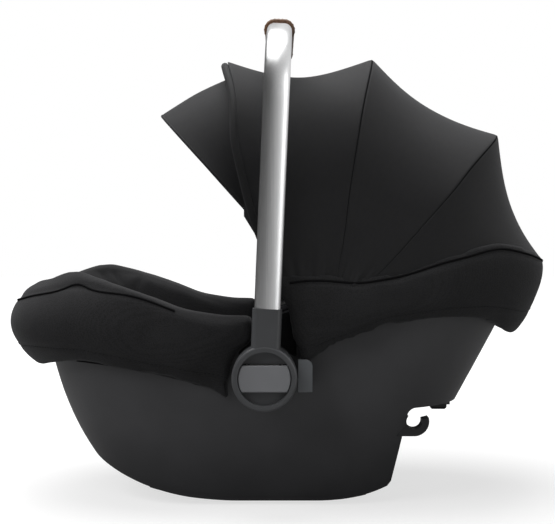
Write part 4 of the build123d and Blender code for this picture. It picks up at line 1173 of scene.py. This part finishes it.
# Strip of the lining laid on the foam's step at the foot end, between the padded lining and the front cover
band = {"middle": -170.0, "spread": 84.0, "across": 80, "level": 158.0, "inner": -8.0, "outer": 32.0,
        "deep": 12, "off": 1.0, "thick": 1.0, "reach": 300, "above": 60}
# Near-black flap behind the handle's boot and clear of the pivot boss, shaped as an elastic flap that hooks
# the lining over the rim: a sheet of painted shade for the deep gap between the covers
flap = {"front": -43.0, "rear": 21.0, "pivot": (-14.0, 159.0), "clear": 35.0, "least": 19.0,
        "belowRim": 1.5, "aside": 176.0, "off": 0.3, "thick": 1.2, "across": 18, "deep": 12, "flatDeep": 0.03}


def makeBinding():
    tree = surfaceTree(nodes["shell"].data)
    bm = bmesh.new()
    rings = []
    for place, inward in wrapPath(binding, binding["steps"]):
        start = place - inward * binding["start"]
        start.z = along(rimLine, place.x) - binding["below"]
        hit = tree.ray_cast(start * mm, inward, binding["reach"] * mm)[0]
        if hit is None:
            continue
        edge = Vector((hit.x / mm, hit.y / mm, along(rimLine, hit.x / mm)))
        rings.append([bm.verts.new((edge + inward * u + up * w) * mm) for u, w in binding["section"]])
    skinRings(bm, rings)
    bmesh.ops.recalc_face_normals(bm, faces=bm.faces)
    piece = addPiece("rimBinding", bm, linerKnit)
    roundOff(piece)
    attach(piece, "shell")


def makeBand():
    tree = surfaceTree(nodes["seat_foam"].data)
    start = Vector((band["middle"], 0.0, band["level"])) * mm
    rows = []
    for k in range(band["across"] + 1):
        turn = math.radians(band["spread"]) * (2 * k / band["across"] - 1)
        outward = Vector((-math.cos(turn), math.sin(turn), 0.0))
        wall = tree.ray_cast(start, outward, band["reach"] * mm)[3]
        row = []
        for n in range(band["deep"] + 1):
            spot = start + outward * (wall + between(band["inner"], band["outer"], n / band["deep"]) * mm)
            hit = tree.ray_cast(spot + up * band["above"] * mm, -up, 2 * band["above"] * mm)[0]
            spot.z = row[-1].z if hit is None else hit.z + band["off"] * mm
            row.append(spot)
        rows.append(row)
    bm = bmesh.new()
    lines = [[bm.verts.new(spot) for spot in row] for row in rows]
    for first, second in zip(lines, lines[1:]):
        for n in range(band["deep"]):
            bm.faces.new((first[n], first[n + 1], second[n + 1], second[n]))
    bmesh.ops.recalc_face_normals(bm, faces=bm.faces)
    area = sum(face.calc_area() for face in bm.faces)
    piece = addPiece("liningBand", bm, linerKnit)
    thicken(piece, band["thick"], 0.0)
    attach(piece, "shell")


def makeFlap(side, sign):
    tree = surfaceTree(nodes["shell"].data)
    bm = bmesh.new()
    bmesh.ops.create_grid(bm, x_segments=flap["across"], y_segments=flap["deep"], size=0.5)
    for vert in bm.verts:
        x = between(flap["front"], flap["rear"], vert.co.x + 0.5)
        over = math.sqrt(max(flap["clear"] ** 2 - (x - flap["pivot"][0]) ** 2, flap["least"] ** 2))
        z = between(flap["pivot"][1] + over, along(rimLine, x) - flap["belowRim"], vert.co.y + 0.5)
        hit, normal, _, _ = tree.find_nearest(Vector((x, sign * flap["aside"], z)) * mm)
        vert.co = hit + normal * flap["off"] * mm
    faceTowards(bm, Vector((0.0, sign, 0.0)))
    # the flap's near-black cloth is painted shade for the gap between the covers
    piece = addPiece("rimShadeFlap" + side, bm, flapShadeKnit)
    thicken(piece, flap["thick"], 1.0)
    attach(piece, "shell")


makeBinding()
makeBand()
makeFlap("Left", -1.0)
makeFlap("Right", 1.0)
print("rim bound")

# Leather grip: a sleeve drawn round the arch, butted and saddle-stitched along its underside
grip = {"pivot": (-14.0, 159.0), "lean": 2.4, "rise": 399.0, "crown": 546.0, "half": 103.6, "width": 35.6,
        "thick": 25.6, "stations": 90, "around": 64, "edge": 1.8, "seamDepth": 0.9, "seamWidth": 2.2,
        "stitchAside": 4.4, "endRow": 7.0, "endDepth": 0.5, "endWidth": 2.0, "grain": 0.25, "grainLong": 14,
        "grainAround": 9, "mapStep": 2.2, "rowEnd": 10.0, "rowSteps": 150, "rowLift": 0.05, "endLift": -0.35,
        "longStitch": (5.0, 3.6, 0.42), "endStitch": (4.6, 3.2, 0.40),
        "endTurn": [(0.0, -3.6), (0.0, -1.6), (0.5, -0.5)]}
girth = 2 * (grip["width"] - grip["thick"]) + math.pi * grip["thick"]


def ovalSpot(share, width, thick):
    # once round a flat-sided oval from the middle of its underside; gives (along the seat, outwards) and the
    # same two parts of its normal
    radius = thick / 2
    flat = width - thick
    bend = math.pi * radius
    gone = (share % 1.0) * 2 * (flat + bend)
    if gone < flat / 2:
        return gone, -radius, 0.0, -1.0
    gone -= flat / 2
    if gone < bend:
        turn = gone / radius
        return flat / 2 + radius * math.sin(turn), -radius * math.cos(turn), math.sin(turn), -math.cos(turn)
    gone -= bend
    if gone < flat:
        return flat / 2 - gone, radius, 0.0, 1.0
    gone -= flat
    if gone < bend:
        turn = gone / radius
        return -flat / 2 - radius * math.sin(turn), radius * math.cos(turn), -math.sin(turn), math.cos(turn)
    return -flat / 2 + gone - bend, -radius, 0.0, -1.0


def gripFrame(across):
    # centre of the arch there, with its outward and seat-wise directions
    lean = math.radians(grip["lean"])
    rising = Vector((math.sin(lean), 0.0, math.cos(lean)))
    fore = Vector((math.cos(lean), 0.0, -math.sin(lean)))
    rise = grip["rise"] - grip["crown"] + math.sqrt(grip["crown"] ** 2 - across**2)
    centre = Vector((grip["pivot"][0], across, grip["pivot"][1])) + rising * rise
    outward = rising * (rise - grip["rise"] + grip["crown"]) / grip["crown"]
    return centre, outward + Vector((0.0, across / grip["crown"], 0.0)), fore


def gripSpot(across, share, out):
    centre, outward, fore = gripFrame(across)
    side, rise, sideOut, riseOut = ovalSpot(share, grip["width"], grip["thick"])
    normal = fore * sideOut + outward * riseOut
    return centre + fore * side + outward * rise + normal * out, normal


def sleeveRing(bm, across, drop):
    # one ring of the sleeve, drawn in along the seam and the end stitches; drop turns the end in
    ring = []
    for k in range(grip["around"]):
        share = k / grip["around"]
        fromSeam = min(share, 1 - share) * girth
        out = drop - grip["seamDepth"] * math.exp(-(fromSeam / grip["seamWidth"]) ** 2)
        if drop == 0.0:
            fromRow = grip["half"] - abs(across) - grip["endRow"]
            out -= grip["endDepth"] * math.exp(-(fromRow / grip["endWidth"]) ** 2)
            pebble = Vector((across / grip["grainLong"], share * grip["grainAround"], 0.0))
            out += grip["grain"] * noise.noise(pebble)
        ring.append(bm.verts.new(gripSpot(across, share, out)[0] * mm))
    return ring


def makeGrip():
    bm = bmesh.new()
    hide = bm.loops.layers.uv.new("hide")
    ends = [(grip["half"] - inset, drop) for inset, drop in grip["endTurn"]]
    full = grip["half"] - grip["edge"]
    middle = [(full - k * 2 * full / grip["stations"], 0.0) for k in range(grip["stations"] + 1)]
    stations = ends + middle + [(-across, drop) for across, drop in reversed(ends)]
    rows = skinRings(bm, [sleeveRing(bm, across, drop) for across, drop in stations])
    for row, faces in enumerate(rows):
        for k, face in enumerate(faces):
            for loop, (du, dv) in zip(face.loops, ((0, 0), (1, 0), (1, 1), (0, 1))):
                loop[hide].uv = ((k + du) / grip["around"] * girth * mm, (row + dv) * grip["mapStep"] * mm)
    bmesh.ops.recalc_face_normals(bm, faces=bm.faces)
    return addPiece("gripSleeve", bm, gripLeather)


def gripStitches(name, placeAt, stitch):
    line = [placeAt(k / grip["rowSteps"]) for k in range(grip["rowSteps"] + 1)]
    return stitchRow(name, [(spot * mm, normal) for spot, normal in line], stitch, gripThread)


def longRow(aside):
    reach, share = grip["half"] - grip["rowEnd"], aside * grip["stitchAside"] / girth
    return lambda t: gripSpot(reach * (2 * t - 1), share, grip["rowLift"])


def endRow(end):
    return lambda t: gripSpot(end * (grip["half"] - grip["endRow"]), t, grip["endLift"])


sleeve = makeGrip()
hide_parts("handle_grip")
gripParts = [
    sleeve,
    gripStitches("gripStitchesFore", longRow(1.0), grip["longStitch"]),
    gripStitches("gripStitchesAft", longRow(-1.0), grip["longStitch"]),
    gripStitches("gripStitchesLeft", endRow(-1.0), grip["endStitch"]),
    gripStitches("gripStitchesRight", endRow(1.0), grip["endStitch"]),
]
for part in gripParts:
    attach(part, "handle")
print("leather grip sewn on")
